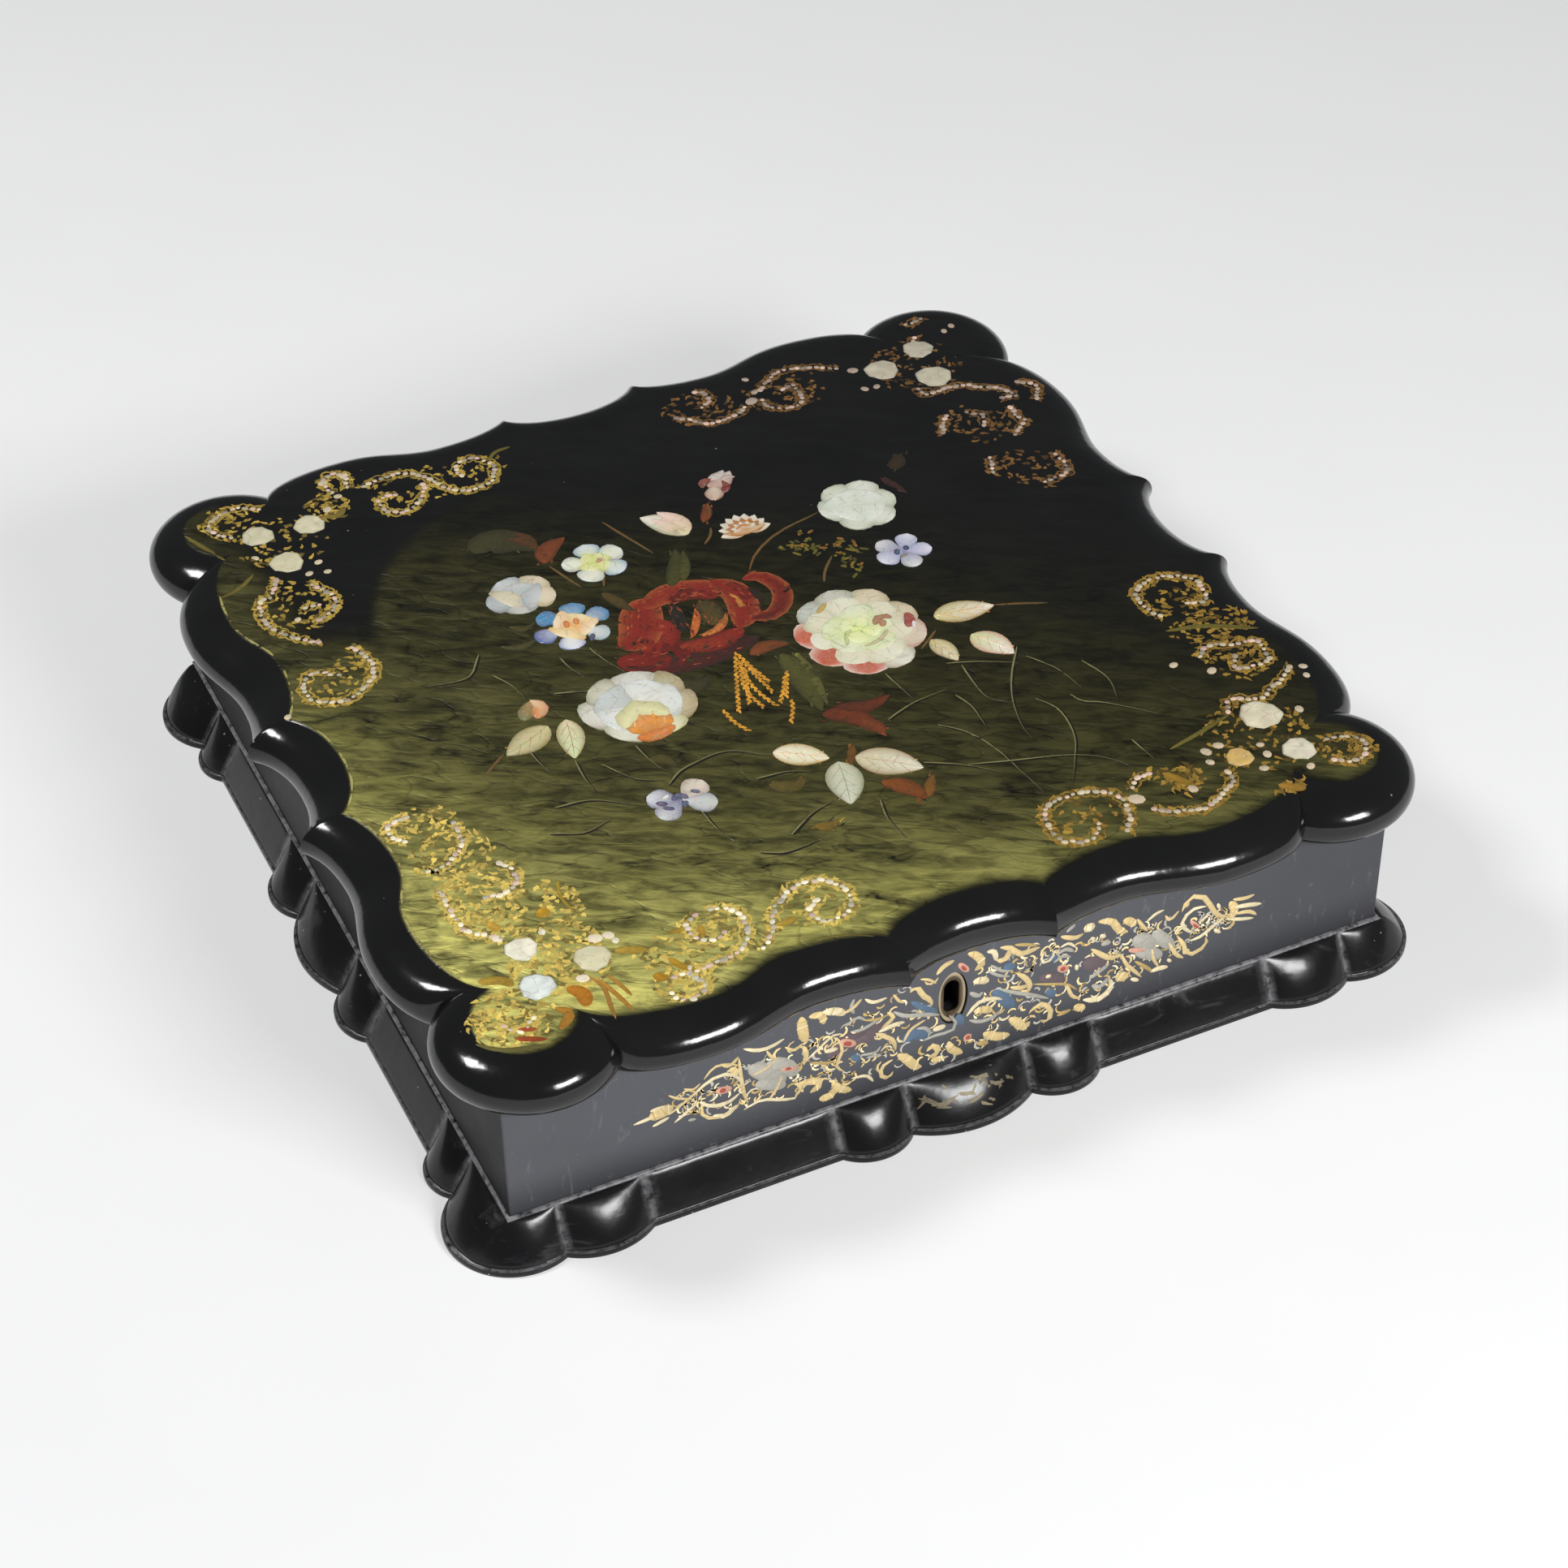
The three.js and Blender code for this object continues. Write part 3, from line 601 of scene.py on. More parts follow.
def plinth_quarter(here, following):
    """One side along -Y and the corner lobe at its right-hand end."""
    right = [MIDDLE_LOBE[0], SMALL_LOBE[0], *here]
    a, b, c, d, e, f, g, h = [-p for p in right[::-1]] + right
    corner_end = Vector((HALF_WIDTH + PLINTH_OUT, -following[1]))
    corner = corner_lobe(at_front(h, PLINTH_OUT), corner_end, CORNER_LOBE_STEPS)
    small = CORNER_SMALL_LOBE_OUT
    return (side_lobe(a, b, small, SMALL_LOBE_STEPS) + plain_edge(b, c)
            + side_lobe(c, d, SMALL_LOBE[1], SMALL_LOBE_STEPS)
            + side_lobe(d, e, MIDDLE_LOBE[1], MIDDLE_LOBE_STEPS)
            + side_lobe(e, f, SMALL_LOBE[1], SMALL_LOBE_STEPS)
            + plain_edge(f, g) + side_lobe(g, h, small, SMALL_LOBE_STEPS) + corner)


def slope_share(rise, bulge):
    """Share of the way out to the lower edge, at a share of the way up the slope."""
    return SLOPE_REACH * ((1 - bulge) * (1 - rise) + bulge * math.sqrt(max(0, 1 - rise * rise)))


def make_plinth():
    stations = []
    for quarter in range(4):
        corners = (SIDE_CORNER, FRONT_CORNER) if quarter % 2 else (FRONT_CORNER, SIDE_CORNER)
        for edge, wall, bulge, painted_highlight in plinth_quarter(*corners):
            stations.append((turned(edge, quarter), turned(wall, quarter), bulge, painted_highlight))
    count = len(stations)
    # Each ring: height, share of the way out, or None where the bulge of the slope decides it
    rings = [(0.0, 0.985), (0.35, 1.0), (1.9, 1.0), (2.25, 0.985), (2.35, 0.93), (2.6, 0.895)]
    rise = WALL_BOTTOM - SLOPE_FOOT
    rings += [(SLOPE_FOOT + rise * i / SLOPE_STEPS, None) for i in range(SLOPE_STEPS + 1)]

    def place(share, along):
        edge, wall, bulge, _ = stations[round(share * count) % count]
        level = round(along * (len(rings) + 1))
        if level < len(rings):
            height, out = rings[level]
            if out is None:
                out = slope_share((height - SLOPE_FOOT) / rise, bulge)
            return (*wall.lerp(edge, out), height)
        inside = wall * HALF_INSIDE / (HALF_WIDTH + PLINTH_TOP_OUT)
        return (*inside, WALL_BOTTOM if level == len(rings) else FLOOR_TOP)

    def paint(share, along):
        level = round(along * (len(rings) + 1))
        # Painted highlight: grey in the creases between lobes, and a grey line on the ledge near the
        # lower edge (levels 3 and 4)
        painted_highlight = stations[round(share * count) % count][3] if 5 < level < len(rings) - 1 else 0
        return (0, 0, 0, max(0.75 * painted_highlight, 0.5 if level in (3, 4) else 0))

    bm = new_bmesh()
    sheet(bm, count, len(rings) + 1, place, paint)
    bmesh.ops.remove_doubles(bm, verts=bm.verts, dist=WELD)
    bmesh.ops.holes_fill(bm, edges=[e for e in bm.edges if e.is_boundary], sides=0)
    lacquer = gloss_finish("plinth_lacquer", 0.26)
    finish_piece(bm, "plinth_board", lacquer, ["plinth"])

    # Bead where the slopes meet the walls, painted light grey all over as a painted highlight line
    bm = new_bmesh()
    around = 4 * BEAD_STEPS_A_SIDE

    def bead_place(share, along):
        side, step = divmod(round(share * around) % around, BEAD_STEPS_A_SIDE)
        angle = math.pi * (0.5 + along)
        reach = HALF_WIDTH + 0.1 - 1.2 * math.cos(angle)
        spot = turned(Vector((reach * (2 * step / BEAD_STEPS_A_SIDE - 1), -reach)), side)
        return (*spot, WALL_BOTTOM - 0.1 + 0.75 * math.sin(angle))

    sheet(bm, around, 8, bead_place, lambda share, along: (0, 0, 0, 0.95))
    bmesh.ops.remove_doubles(bm, verts=bm.verts, dist=WELD)
    open_edges = [e for e in bm.edges if e.is_boundary]
    bmesh.ops.bridge_loops(bm, edges=open_edges)
    finish_piece(bm, "foot_bead", lacquer, crease=80)


def lobe_at(along):
    """The station of the front middle lobe nearest to a place along the front."""
    stations = side_lobe(-MIDDLE_LOBE[0], MIDDLE_LOBE[0], MIDDLE_LOBE[1], MIDDLE_LOBE_STEPS)
    return min(stations, key=lambda station: abs(station[0].x - along))[:3]


# Walls and keyhole
def box_at(bm, half, low, high):
    made = bmesh.ops.create_cube(bm, size=1)["verts"]
    bmesh.ops.scale(bm, vec=(2 * half, 2 * half, high - low), verts=made)
    bmesh.ops.translate(bm, vec=(0, 0, (low + high) / 2), verts=made)


def oval_prism(bm, half_x, half_z, front, back, straight=0.0):
    """Upright oval, or a round-ended slot, standing in the front wall."""
    ring = bmesh.ops.create_circle(bm, cap_ends=True, segments=64, radius=1)["verts"]
    for vert in ring:
        stretch = math.copysign(straight, vert.co.y) if abs(vert.co.y) > 1e-6 else 0
        height = KEYHOLE[1] + vert.co.y * (half_z - straight) + stretch
        vert.co = (KEYHOLE[0] + vert.co.x * half_x, -front, height)
    faces = [f for f in bm.faces if all(v in ring for v in f.verts)]
    made = bmesh.ops.extrude_face_region(bm, geom=faces)["geom"]
    moved = [v for v in made if isinstance(v, bmesh.types.BMVert)]
    bmesh.ops.translate(bm, vec=(0, front - back, 0), verts=moved)
    bmesh.ops.recalc_face_normals(bm, faces=bm.faces)


def cutter(name, build):
    bm = bmesh.new()
    build(bm)
    mesh = bpy.data.meshes.new(name)
    bm.to_mesh(mesh)
    bm.free()
    made = bpy.data.objects.new(name, mesh)
    bpy.context.scene.collection.objects.link(made)
    return made


def make_walls():
    def outside(bm):
        box_at(bm, HALF_WIDTH, WALL_BOTTOM, WALL_TOP)
        upright = [e for e in bm.edges if abs(e.verts[0].co.z - e.verts[1].co.z) > 1]
        bmesh.ops.bevel(bm, geom=upright, offset=WALL_ROUNDING, segments=4, profile=0.5,
                        affect="EDGES", material=-1)

    def inside(bm):
        box_at(bm, HALF_INSIDE, WALL_BOTTOM - 1, WALL_TOP + 1)

    def plate_seat(bm):
        depth = HALF_WIDTH - PLATE_DEPTH - PLATE_THICKNESS
        oval_prism(bm, PLATE_HALF[0] + PLATE_GAP, PLATE_HALF[1] + PLATE_GAP, HALF_WIDTH + 2, depth)

    def key_slot(bm):
        straight = SLOT_HALF[1] - SLOT_HALF[0]
        half_x, half_z = SLOT_HALF[0] + SLOT_GAP, SLOT_HALF[1] + SLOT_GAP
        oval_prism(bm, half_x, half_z, HALF_WIDTH + 3, HALF_INSIDE - 2, straight)

    body = cutter("walls_body", outside)
    tools = [cutter("tool_inside", inside), cutter("tool_seat", plate_seat),
             cutter("tool_slot", key_slot)]
    for tool in tools:
        cut = body.modifiers.new("cut", "BOOLEAN")
        cut.operation, cut.solver, cut.object = "DIFFERENCE", "EXACT", tool
    bpy.context.view_layer.update()
    shown = body.evaluated_get(bpy.context.evaluated_depsgraph_get())
    bm = new_bmesh()
    bm.from_mesh(shown.to_mesh())
    for made in (body, *tools):
        bpy.data.objects.remove(made)
    finish_piece(bm, "wall_shell", wall_finish(), ["walls"], crease=30)


def brass_finish():
    made = Finish("aged_brass", Metallic=0.7)
    cloud = made.noise(3, 4, 0.6)
    metal = made.mix(cloud, lin(158, 140, 112), lin(198, 182, 152))
    made.set(Base_Color=made.mix(made.tint("Alpha"), metal, lin(62, 50, 34)))
    made.set(Roughness=0.34 + 0.25 * made.noise(1.2, 4))
    made.set(Normal=made.bump(made.noise(0.8, 3), 0.03))
    return made.material


def make_keyhole_plate():
    """Oval plate with a rounded light rim, dark and sunk towards its slot."""
    front = HALF_WIDTH - PLATE_DEPTH
    back = front - PLATE_THICKNESS
    straight = SLOT_HALF[1] - SLOT_HALF[0]
    # Section from the back outer edge round the rim to the slot: share in, depth, darkness
    section = [(0, back, 0), (0, front - 0.3, 0), (0.08, front - 0.05, 0), (0.25, front, 0),
               (0.42, front - 0.12, 0), (0.5, front - 0.35, 0.7), (0.8, front - 0.45, 0.9),
               (0.95, front - 0.5, 1), (1, front - 0.7, 1), (1, back, 1), (0, back, 0)]
    last = len(section) - 1

    def place(share, along):
        angle = math.tau * share
        outer = Vector((PLATE_HALF[0] * math.cos(angle), PLATE_HALF[1] * math.sin(angle)))
        hole = Vector((math.cos(angle), math.sin(angle))) * SLOT_HALF[0]
        hole.y += math.copysign(straight, hole.y) * smooth(abs(math.sin(angle)), 0, 0.12)
        inward, depth, _ = section[round(along * last)]
        spot = outer.lerp(hole, inward)
        return (KEYHOLE[0] + spot.x, -depth, KEYHOLE[1] + spot.y)

    bm = new_bmesh()
    sheet(bm, 72, last, place, lambda share, along: (0, 0, 0, section[round(along * last)][2]))
    finish_piece(bm, "keyhole_escutcheon", brass_finish(), ["keyhole_plate"])


# Decoration: slivers of shell, paint and gilt laid along curves
def sampled(points, shares):
    """Place and direction at each share of the length of a smooth curve through points."""
    knots = [Vector(p) for p in points]
    knots = [2 * knots[0] - knots[1], *knots, 2 * knots[-1] - knots[-2]]
    fine = []
    for before, here, there, after in zip(knots, knots[1:], knots[2:], knots[3:]):
        for t in (i / CURVE_STEPS for i in range(CURVE_STEPS)):
            bend = (2 * before - 5 * here + 4 * there - after) * t * t
            twist = (3 * here - before - 3 * there + after) * t ** 3
            fine.append((2 * here + (there - before) * t + bend + twist) / 2)
    fine.append(knots[-2])
    reached = [0.0]
    for here, there in zip(fine, fine[1:]):
        reached.append(reached[-1] + (there - here).length)
    made = []
    at = 0
    for share in shares:
        while at + 2 < len(fine) and reached[at + 1] < share * reached[-1]:
            at += 1
        step = fine[at + 1] - fine[at]
        part = (share * reached[-1] - reached[at]) / max(1e-9, step.length)
        made.append((fine[at] + step * part, step.normalized()))
    return made


def curve_length(points):
    return sum((Vector(b) - Vector(a)).length for a, b in zip(points, points[1:]))


def on_lid(flat, up):
    return (flat.x, flat.y, LID_TOP + min(PEARL_TOP, ground_height(flat.x, flat.y) + up))


def on_flat(flat, up):
    return (flat.x, flat.y, LID_TOP + min(PEARL_TOP, up))


def on_front(flat, up):
    return (flat.x, -HALF_WIDTH - up, flat.y)


def leafy(half):
    return lambda t: half * math.sin(math.pi * t ** 0.8) ** 0.75


def petal_like(half):
    return lambda t: half * math.sin(math.pi * min(1, t) ** 1.7) ** 0.55


def stroke(half):
    return lambda t: half * (1 - abs(2 * t - 1) ** 3) ** 0.6


def tapered(half):
    return lambda t: half * (1 - t) ** 0.7 * min(1, 6 * t) ** 0.5


def blade(bm, points, half_at, lift, colour, on=on_lid, columns=4, rows=6, dome=0.5):
    """Closed sliver along a curve: flat below, domed above, drawn together at both ends."""
    shares = [(1 - math.cos(math.pi * i / rows)) / 2 for i in range(rows + 1)]
    path = sampled(points, shares)

    def spot(across, along):
        column, row = round(across * (columns + 1)) % (columns + 1), round(along * rows)
        side = max(-1, min(1, 2 * (column - 1) / (columns - 2) - 1))
        return column in (0, columns), side, row

    def place(across, along):
        sunk, side, row = spot(across, along)
        middle, ahead = path[row]
        flat = middle + Vector((-ahead.y, ahead.x)) * (side * half_at(shares[row]))
        return on(flat, -SLIVER_SINK if sunk else lift * (1 - dome * side * side))

    def paint(across, along):
        _, side, row = spot(across, along)
        return (*colour(shares[row], side), 1)

    sheet(bm, columns + 1, rows, place, paint)


def solid(shade):
    """One linear colour all over a sliver."""
    return lambda t, side: shade


def plain(*colour):
    return solid(Vector(lin(*colour)))


def scaled(colour, share):
    return tuple(share * c for c in colour)


def blend(root, tip, edge=None, edge_share=0.8):
    """Colour from the root to the tip of a sliver, and along its two edges."""
    root, tip, edge = (Vector(lin(*c)) for c in (root, tip, edge or tip))
    return lambda t, side: root.lerp(tip, t).lerp(edge, edge_share * abs(side) ** 3)


def bead(bm, at, size, colour, turn, long):
    made = bmesh.ops.create_uvsphere(bm, u_segments=8, v_segments=5, radius=1)["verts"]
    tint = bm.verts.layers.float_color["tint"]
    for vert in made:
        flat = Vector((vert.co.x * size * long, vert.co.y * size))
        flat.rotate(Matrix.Rotation(turn, 2))
        up = vert.co.z * 0.36
        vert.co = on_flat(at + flat, up)
        vert[tint] = (*colour, 1)


def jitter(amount):
    return dice.uniform(-amount, amount)


def varied(colour, amount=0.12):
    shift = 1 + jitter(amount)
    return tuple(min(1, c * shift) for c in lin(*colour))


# Pearl blossoms: centre, half sizes, and tiers of petals from the outermost in. A tier is
# (count, turn, inner share, outer share, width, list of (root, tip, edge) colours in turn).
WHITE, CREAM, GREY = (232, 230, 216), (226, 216, 184), (190, 192, 184)
BLUE, NAVY = (66, 128, 172), (58, 62, 104)
BLOSSOMS = {
    "rose_right": (
        32.6, -13, 21.5, 24,
        [
            (
                9, 10, 0.3, 1.0, 1.1,
                [
                    (CREAM, (206, 192, 158), (150, 138, 100)), (CREAM, (214, 200, 166), (160, 146, 108)),
                    (GREY, (200, 198, 180), (140, 140, 110)), (GREY, (196, 198, 186), (128, 130, 104)),
                    ((190, 92, 58), (196, 96, 62), (228, 208, 190)),
                    ((186, 82, 52), (190, 84, 54), (226, 204, 186)),
                    ((186, 80, 54), (194, 92, 64), (230, 214, 200)),
                    (CREAM, (226, 222, 206), (150, 140, 110)), (CREAM, (214, 196, 176), (176, 120, 96)),
                ],
            ),
            (
                7, 30, 0.1, 0.8, 1.3,
                [(CREAM, (226, 222, 194), (168, 160, 120)), (CREAM, (232, 230, 206), (186, 178, 138))],
            ),
            (
                5, 5, 0.05, 0.56, 1.25,
                [
                    ((214, 226, 150), (228, 234, 192), (188, 196, 134)),
                    ((232, 236, 170), (226, 230, 200), (180, 186, 130)),
                ],
            ),
            (4, 50, 0.0, 0.3, 1.2, [((226, 238, 150), (238, 240, 190), (190, 200, 120))]),
        ],
    ),
    "rose_left": (
        -48.2, -17.4, 19.2, 17.8,
        [
            (
                7, 25, 0.3, 1.0, 1.1,
                [
                    ((196, 190, 160), (176, 160, 118), (134, 116, 76)),
                    (WHITE, (206, 206, 194), (150, 148, 124)), (WHITE, (190, 188, 160), (128, 124, 92)),
                    (WHITE, (214, 212, 196), (146, 140, 112)), (WHITE, (222, 220, 200), (150, 146, 116)),
                    (CREAM, (226, 226, 180), (170, 166, 112)), (CREAM, (176, 156, 112), (134, 112, 72)),
                ],
            ),
            (
                5, 60, 0.05, 0.74, 1.3,
                [(WHITE, (222, 226, 222), (172, 172, 160)), (GREY, (206, 212, 210), (160, 162, 152))],
            ),
        ],
    ),
    "blue_flower": (
        -50.8, 31.2, 14, 12.5,
        [
            (
                6, 12, 0.3, 1.0, 0.74,
                [
                    ((196, 206, 214), BLUE, (40, 90, 130)), ((150, 190, 214), BLUE, (46, 100, 140)),
                    (BLUE, (70, 140, 186), (38, 84, 124)),
                    ((206, 212, 224), (70, 96, 160), (50, 70, 120)),
                    (WHITE, (226, 228, 236), (96, 110, 160)), (WHITE, (186, 198, 204), (120, 140, 150)),
                ],
            ),
            (
                4, 45, 0.0, 0.52, 1.5,
                [
                    ((240, 190, 110), (244, 226, 180), (214, 170, 100)),
                    ((236, 160, 80), (246, 232, 196), (220, 180, 120)),
                ],
            ),
        ],
    ),
    "grey_flower": (
        -59.8, 54.9, 12.5, 10.5,
        [
            (
                5, 40, 0.0, 1.0, 1.0,
                [
                    (GREY, (220, 206, 170), (170, 154, 112)), (GREY, (200, 206, 206), (130, 140, 140)),
                    (GREY, (178, 186, 188), (120, 126, 128)), (GREY, (196, 196, 186), (134, 132, 118)),
                    (CREAM, (222, 208, 176), (172, 150, 108)),
                ],
            ),
            (
                3, 80, 0.0, 0.6, 1.5,
                [
                    ((176, 180, 182), (206, 208, 204), (140, 144, 142)),
                    ((210, 200, 170), (222, 212, 184), (160, 150, 120)),
                ],
            ),
        ],
    ),
    "cream_flower": (
        -30.3, 61, 11.5, 11,
        [
            (
                5, 18, 0.1, 1.0, 0.78,
                [
                    ((226, 230, 190), WHITE, (160, 172, 170)),
                    ((220, 226, 180), (214, 222, 226), (110, 140, 160)),
                    ((226, 230, 190), (236, 236, 224), (150, 156, 140)),
                ],
            ),
            (4, 50, 0.0, 0.46, 1.5, [((214, 220, 120), (230, 232, 170), (170, 176, 96))]),
        ],
    ),
    "white_rose": (
        63.9, 51.6, 13.8, 15,
        [
            (
                6, 0, 0.0, 1.0, 1.05,
                [
                    ((222, 226, 204), (212, 216, 196), (150, 156, 130)),
                    ((216, 222, 200), (224, 226, 212), (160, 164, 140)),
                ],
            ),
            (4, 30, 0.0, 0.66, 1.6, [((214, 220, 200), (230, 232, 222), (186, 190, 168))]),
        ],
    ),
    "star_flower": (
        65.5, 20.6, 10, 10,
        [
            (
                5, 55, 0.0, 1.0, 0.76,
                [
                    ((150, 150, 190), (224, 224, 234), (150, 154, 180)),
                    ((120, 124, 170), (226, 224, 220), (160, 160, 170)),
                ],
            ),
        ],
    ),
    "butterfly_flower": (
        -55, -66.7, 13.4, 8.4,
        [
            (
                4, 45, 0.0, 1.0, 0.66,
                [
                    ((206, 196, 180), (222, 206, 190), (150, 134, 120)),
                    ((90, 96, 130), (226, 226, 228), (110, 114, 140)),
                    ((110, 114, 144), (214, 214, 214), (96, 100, 124)),
                    ((206, 206, 210), (196, 198, 190), (104, 108, 124)),
                ],
            ),
        ],
    ),
}
def fan(steps, reach, half, colours):
    """Slivers spread over half a turn from the foot of the orange bud."""
    made = []
    for angle in (math.pi * k / steps for k in range(steps + 1)):
        end = (23 + reach[0] * math.cos(angle), 55 + reach[1] * math.sin(angle))
        made.append((((23, 55), end), half, *colours))
    return made


# Buds: points, half width, colour at the root, tip and edge
BUDS = {
    "pink_bud": (
        (((4.5, 61.8), (1, 70), (-6.5, 78)), 5.6, (222, 214, 176), (238, 232, 216), (160, 148, 112)),
        (((5.5, 63), (4, 71), (0, 78.4)), 3.6, (226, 200, 160), (246, 214, 202), (190, 160, 134)),
        (((4, 63), (0, 70), (-3.5, 75.5)), 2.6, (214, 196, 146), (244, 212, 200), (214, 184, 160)),
    ),
    "orange_bud": (
        *fan(8, (9.2, 10), 2.7, ((196, 140, 80), WHITE, (206, 180, 140))),
        *fan(7, (7.0, 7.4), 2.3, ((190, 120, 50), (176, 112, 44), (140, 84, 34))),
        *fan(6, (5.2, 5.4), 2.0, ((200, 140, 70), WHITE, (190, 140, 80))),
        (((15, 56), (22, 54.2), (31, 55.6)), 1.4, (196, 130, 60), (214, 190, 150), (150, 96, 40)),
        (((20, 56.5), (23, 58), (26, 56.5)), 1.2, (190, 120, 50), (200, 134, 60), (150, 90, 40)),
    ),
    "dusky_bud": (
        (((20.5, 76.5), (22.5, 80), (24.5, 84.5)), 3.4, (206, 176, 150), (212, 196, 176), (120, 60, 48)),
        (((22, 85), (27, 85), (33, 90)), 3.6, (196, 150, 134), (206, 194, 184), (126, 70, 60)),
        (((24, 88.5), (28, 89), (31, 91.5)), 2.4, (214, 204, 194), (196, 186, 178), (130, 90, 80)),
        (((20.2, 85), (22, 88), (25.5, 88.5)), 1.6, (120, 40, 34), (150, 60, 46), (96, 34, 30)),
        (((25.5, 79), (28, 82), (28, 86)), 1.5, (116, 40, 32), (130, 50, 40), (96, 34, 30)),
        (((28, 86), (30.5, 87), (33, 86)), 1.3, (206, 190, 176), (186, 170, 156), (140, 110, 96)),
    ),
    "bud_left": (
        (((-84.4, -8), (-81, -4), (-78, 0.4)), 3.0, (118, 112, 54), (170, 130, 76), (86, 80, 40)),
        (((-80, -9), (-76.8, -4), (-78.5, 0.6)), 2.8, (210, 136, 70), (238, 200, 160), (160, 100, 50)),
        (((-79.6, -8), (-78, -4)), 1.2, (206, 128, 60), (226, 160, 100), (180, 110, 54)),
    ),
}
# Marks painted on the blossoms: blossom, points, half width, colour
MARKS = (
    ("rose_left", ((-57, -27), (-50, -19.5), (-41, -26)), 5.2, (232, 228, 170)),
    ("rose_left", ((-56, -30), (-49, -26), (-41.5, -30)), 5.6, (232, 150, 58)),
    ("rose_left", ((-55.5, -33), (-49, -34), (-42, -32)), 2.4, (224, 128, 44)),
    ("rose_left", ((-52.5, -29), (-50, -22)), 1.5, (236, 150, 56)),
    ("rose_left", ((-47.5, -29), (-46, -23)), 1.3, (238, 158, 64)),
    ("rose_left", ((-54, -28), (-53, -25)), 0.8, (250, 206, 130)),
    ("rose_left", ((-44.5, -30), (-43.5, -26.5)), 0.8, (250, 200, 120)),
    ("rose_right", ((38, -13), (42, -9.5), (45, -12)), 1.6, (176, 120, 84)),
    ("rose_right", ((40, -15), (42, -11.5)), 1.2, (190, 128, 90)),
    ("rose_right", ((47.5, -19), (50, -15), (50.5, -11.5)), 1.8, (160, 44, 34)),
    ("rose_right", ((49.5, -19.5), (50.5, -16.5)), 1.0, (238, 226, 220)),
    ("rose_right", ((24, 1), (29, 5)), 0.9, (206, 168, 80)),
    ("rose_right", ((25, -19), (29, -12), (34, -9)), 1.0, (204, 214, 140)),
    ("rose_right", ((30, -22), (36, -21), (41, -17)), 0.9, (206, 196, 150)),
    ("blue_flower", ((-53, 30.5), (-52, 34.5)), 1.0, (226, 130, 50)),
    ("blue_flower", ((-49.5, 31), (-48.5, 34.5)), 1.0, (230, 140, 60)),
    ("blue_flower", ((-48.5, 21), (-46.5, 24)), 0.9, NAVY),
    ("star_flower", ((62.5, 19), (64, 22)), 1.0, NAVY),
    ("star_flower", ((66.5, 20), (67.5, 22.5)), 1.0, NAVY),
    ("star_flower", ((63, 17.5), (66, 18)), 0.7, (150, 130, 120)),
    ("butterfly_flower", ((-63, -65), (-60, -67)), 1.1, NAVY),
    ("butterfly_flower", ((-58, -66), (-55, -64.5), (-53, -67)), 1.3, (84, 90, 120)),
    ("butterfly_flower", ((-56, -70), (-54, -68)), 0.9, (90, 96, 124)),
    ("butterfly_flower", ((-62, -68), (-59, -70)), 0.9, (70, 78, 112)),
    ("butterfly_flower", ((-51, -64), (-48.5, -66)), 0.8, (84, 90, 120)),
    ("butterfly_flower", ((-60.5, -64), (-58, -63)), 0.7, (240, 236, 224)),
    ("cream_flower", ((-30, 60), (-27.5, 62)), 0.8, (216, 150, 130)),
)
# Pearl leaves: x, y, length, width, angle, root, tip, edge and vein colours
LEAVES = {
    "leaf_right_upper": (
        68, -19, 21, 11, -8, (214, 200, 140), (232, 226, 206), (150, 120, 50), (196, 130, 40),
    ),
    "leaf_right_middle": (
        52.5, -35, 14, 7.5, -78, (206, 190, 130), (226, 220, 190), (140, 116, 60), (190, 140, 60),
    ),
    "leaf_right_lower": (
        68, -39, 17, 11, -62, (206, 210, 150), (240, 234, 220), (190, 140, 110), (226, 150, 120),
    ),
    "leaf_left_outer": (
        -87, -18.4, 19, 11, 205, (206, 194, 140), (196, 188, 144), (134, 116, 60), (160, 130, 70),
    ),
    "leaf_left_inner": (
        -74.5, -23.6, 20, 9, -104, (226, 210, 170), (206, 222, 170), (140, 124, 60), (176, 140, 80),
    ),
    "leaf_low_cream": (
        -12.8, -63.4, 18, 10.5, -35, (244, 238, 206), (232, 226, 196), (176, 140, 60), (214, 160, 60),
    ),
    "leaf_low_left": (
        -6.6, -81.6, 21, 12, -105, (196, 196, 166), (206, 208, 186), (130, 128, 90), (150, 148, 110),
    ),
    "leaf_low_right": (
        10.4, -78.8, 22, 13, -40, (206, 198, 160), (226, 222, 200), (150, 120, 70), (170, 132, 70),
    ),
}
ROUNDELS = (
    ("front_left_1", -125.3, -108.3, 5.2, (236, 230, 206)),
    ("front_left_2", -108, -121, 5.8, (216, 208, 170)),
    ("front_left_3", -127.2, -125.3, 5.6, (222, 228, 222)),
    ("back_left_1", -127.7, 126.5, 5.8, (206, 200, 166)),
    ("back_left_2", -109.5, 125.3, 5.6, (214, 206, 172)),
    ("back_left_3", -123.7, 107.6, 6, (210, 202, 166)),
    ("back_right_1", 109.6, 124.6, 6.4, (196, 186, 162)),
    ("back_right_2", 124.6, 112.3, 6.8, (200, 192, 166)),
    ("back_right_3", 127.7, 131.2, 5.8, (190, 182, 160)),
    ("front_right_1", 126.5, -109.5, 7.2, (216, 206, 176)),
    ("front_right_2", 109.5, -124.9, 4.6, (206, 170, 90)),
    ("front_right_3", 128.2, -129.6, 5.6, (214, 206, 182)),
)


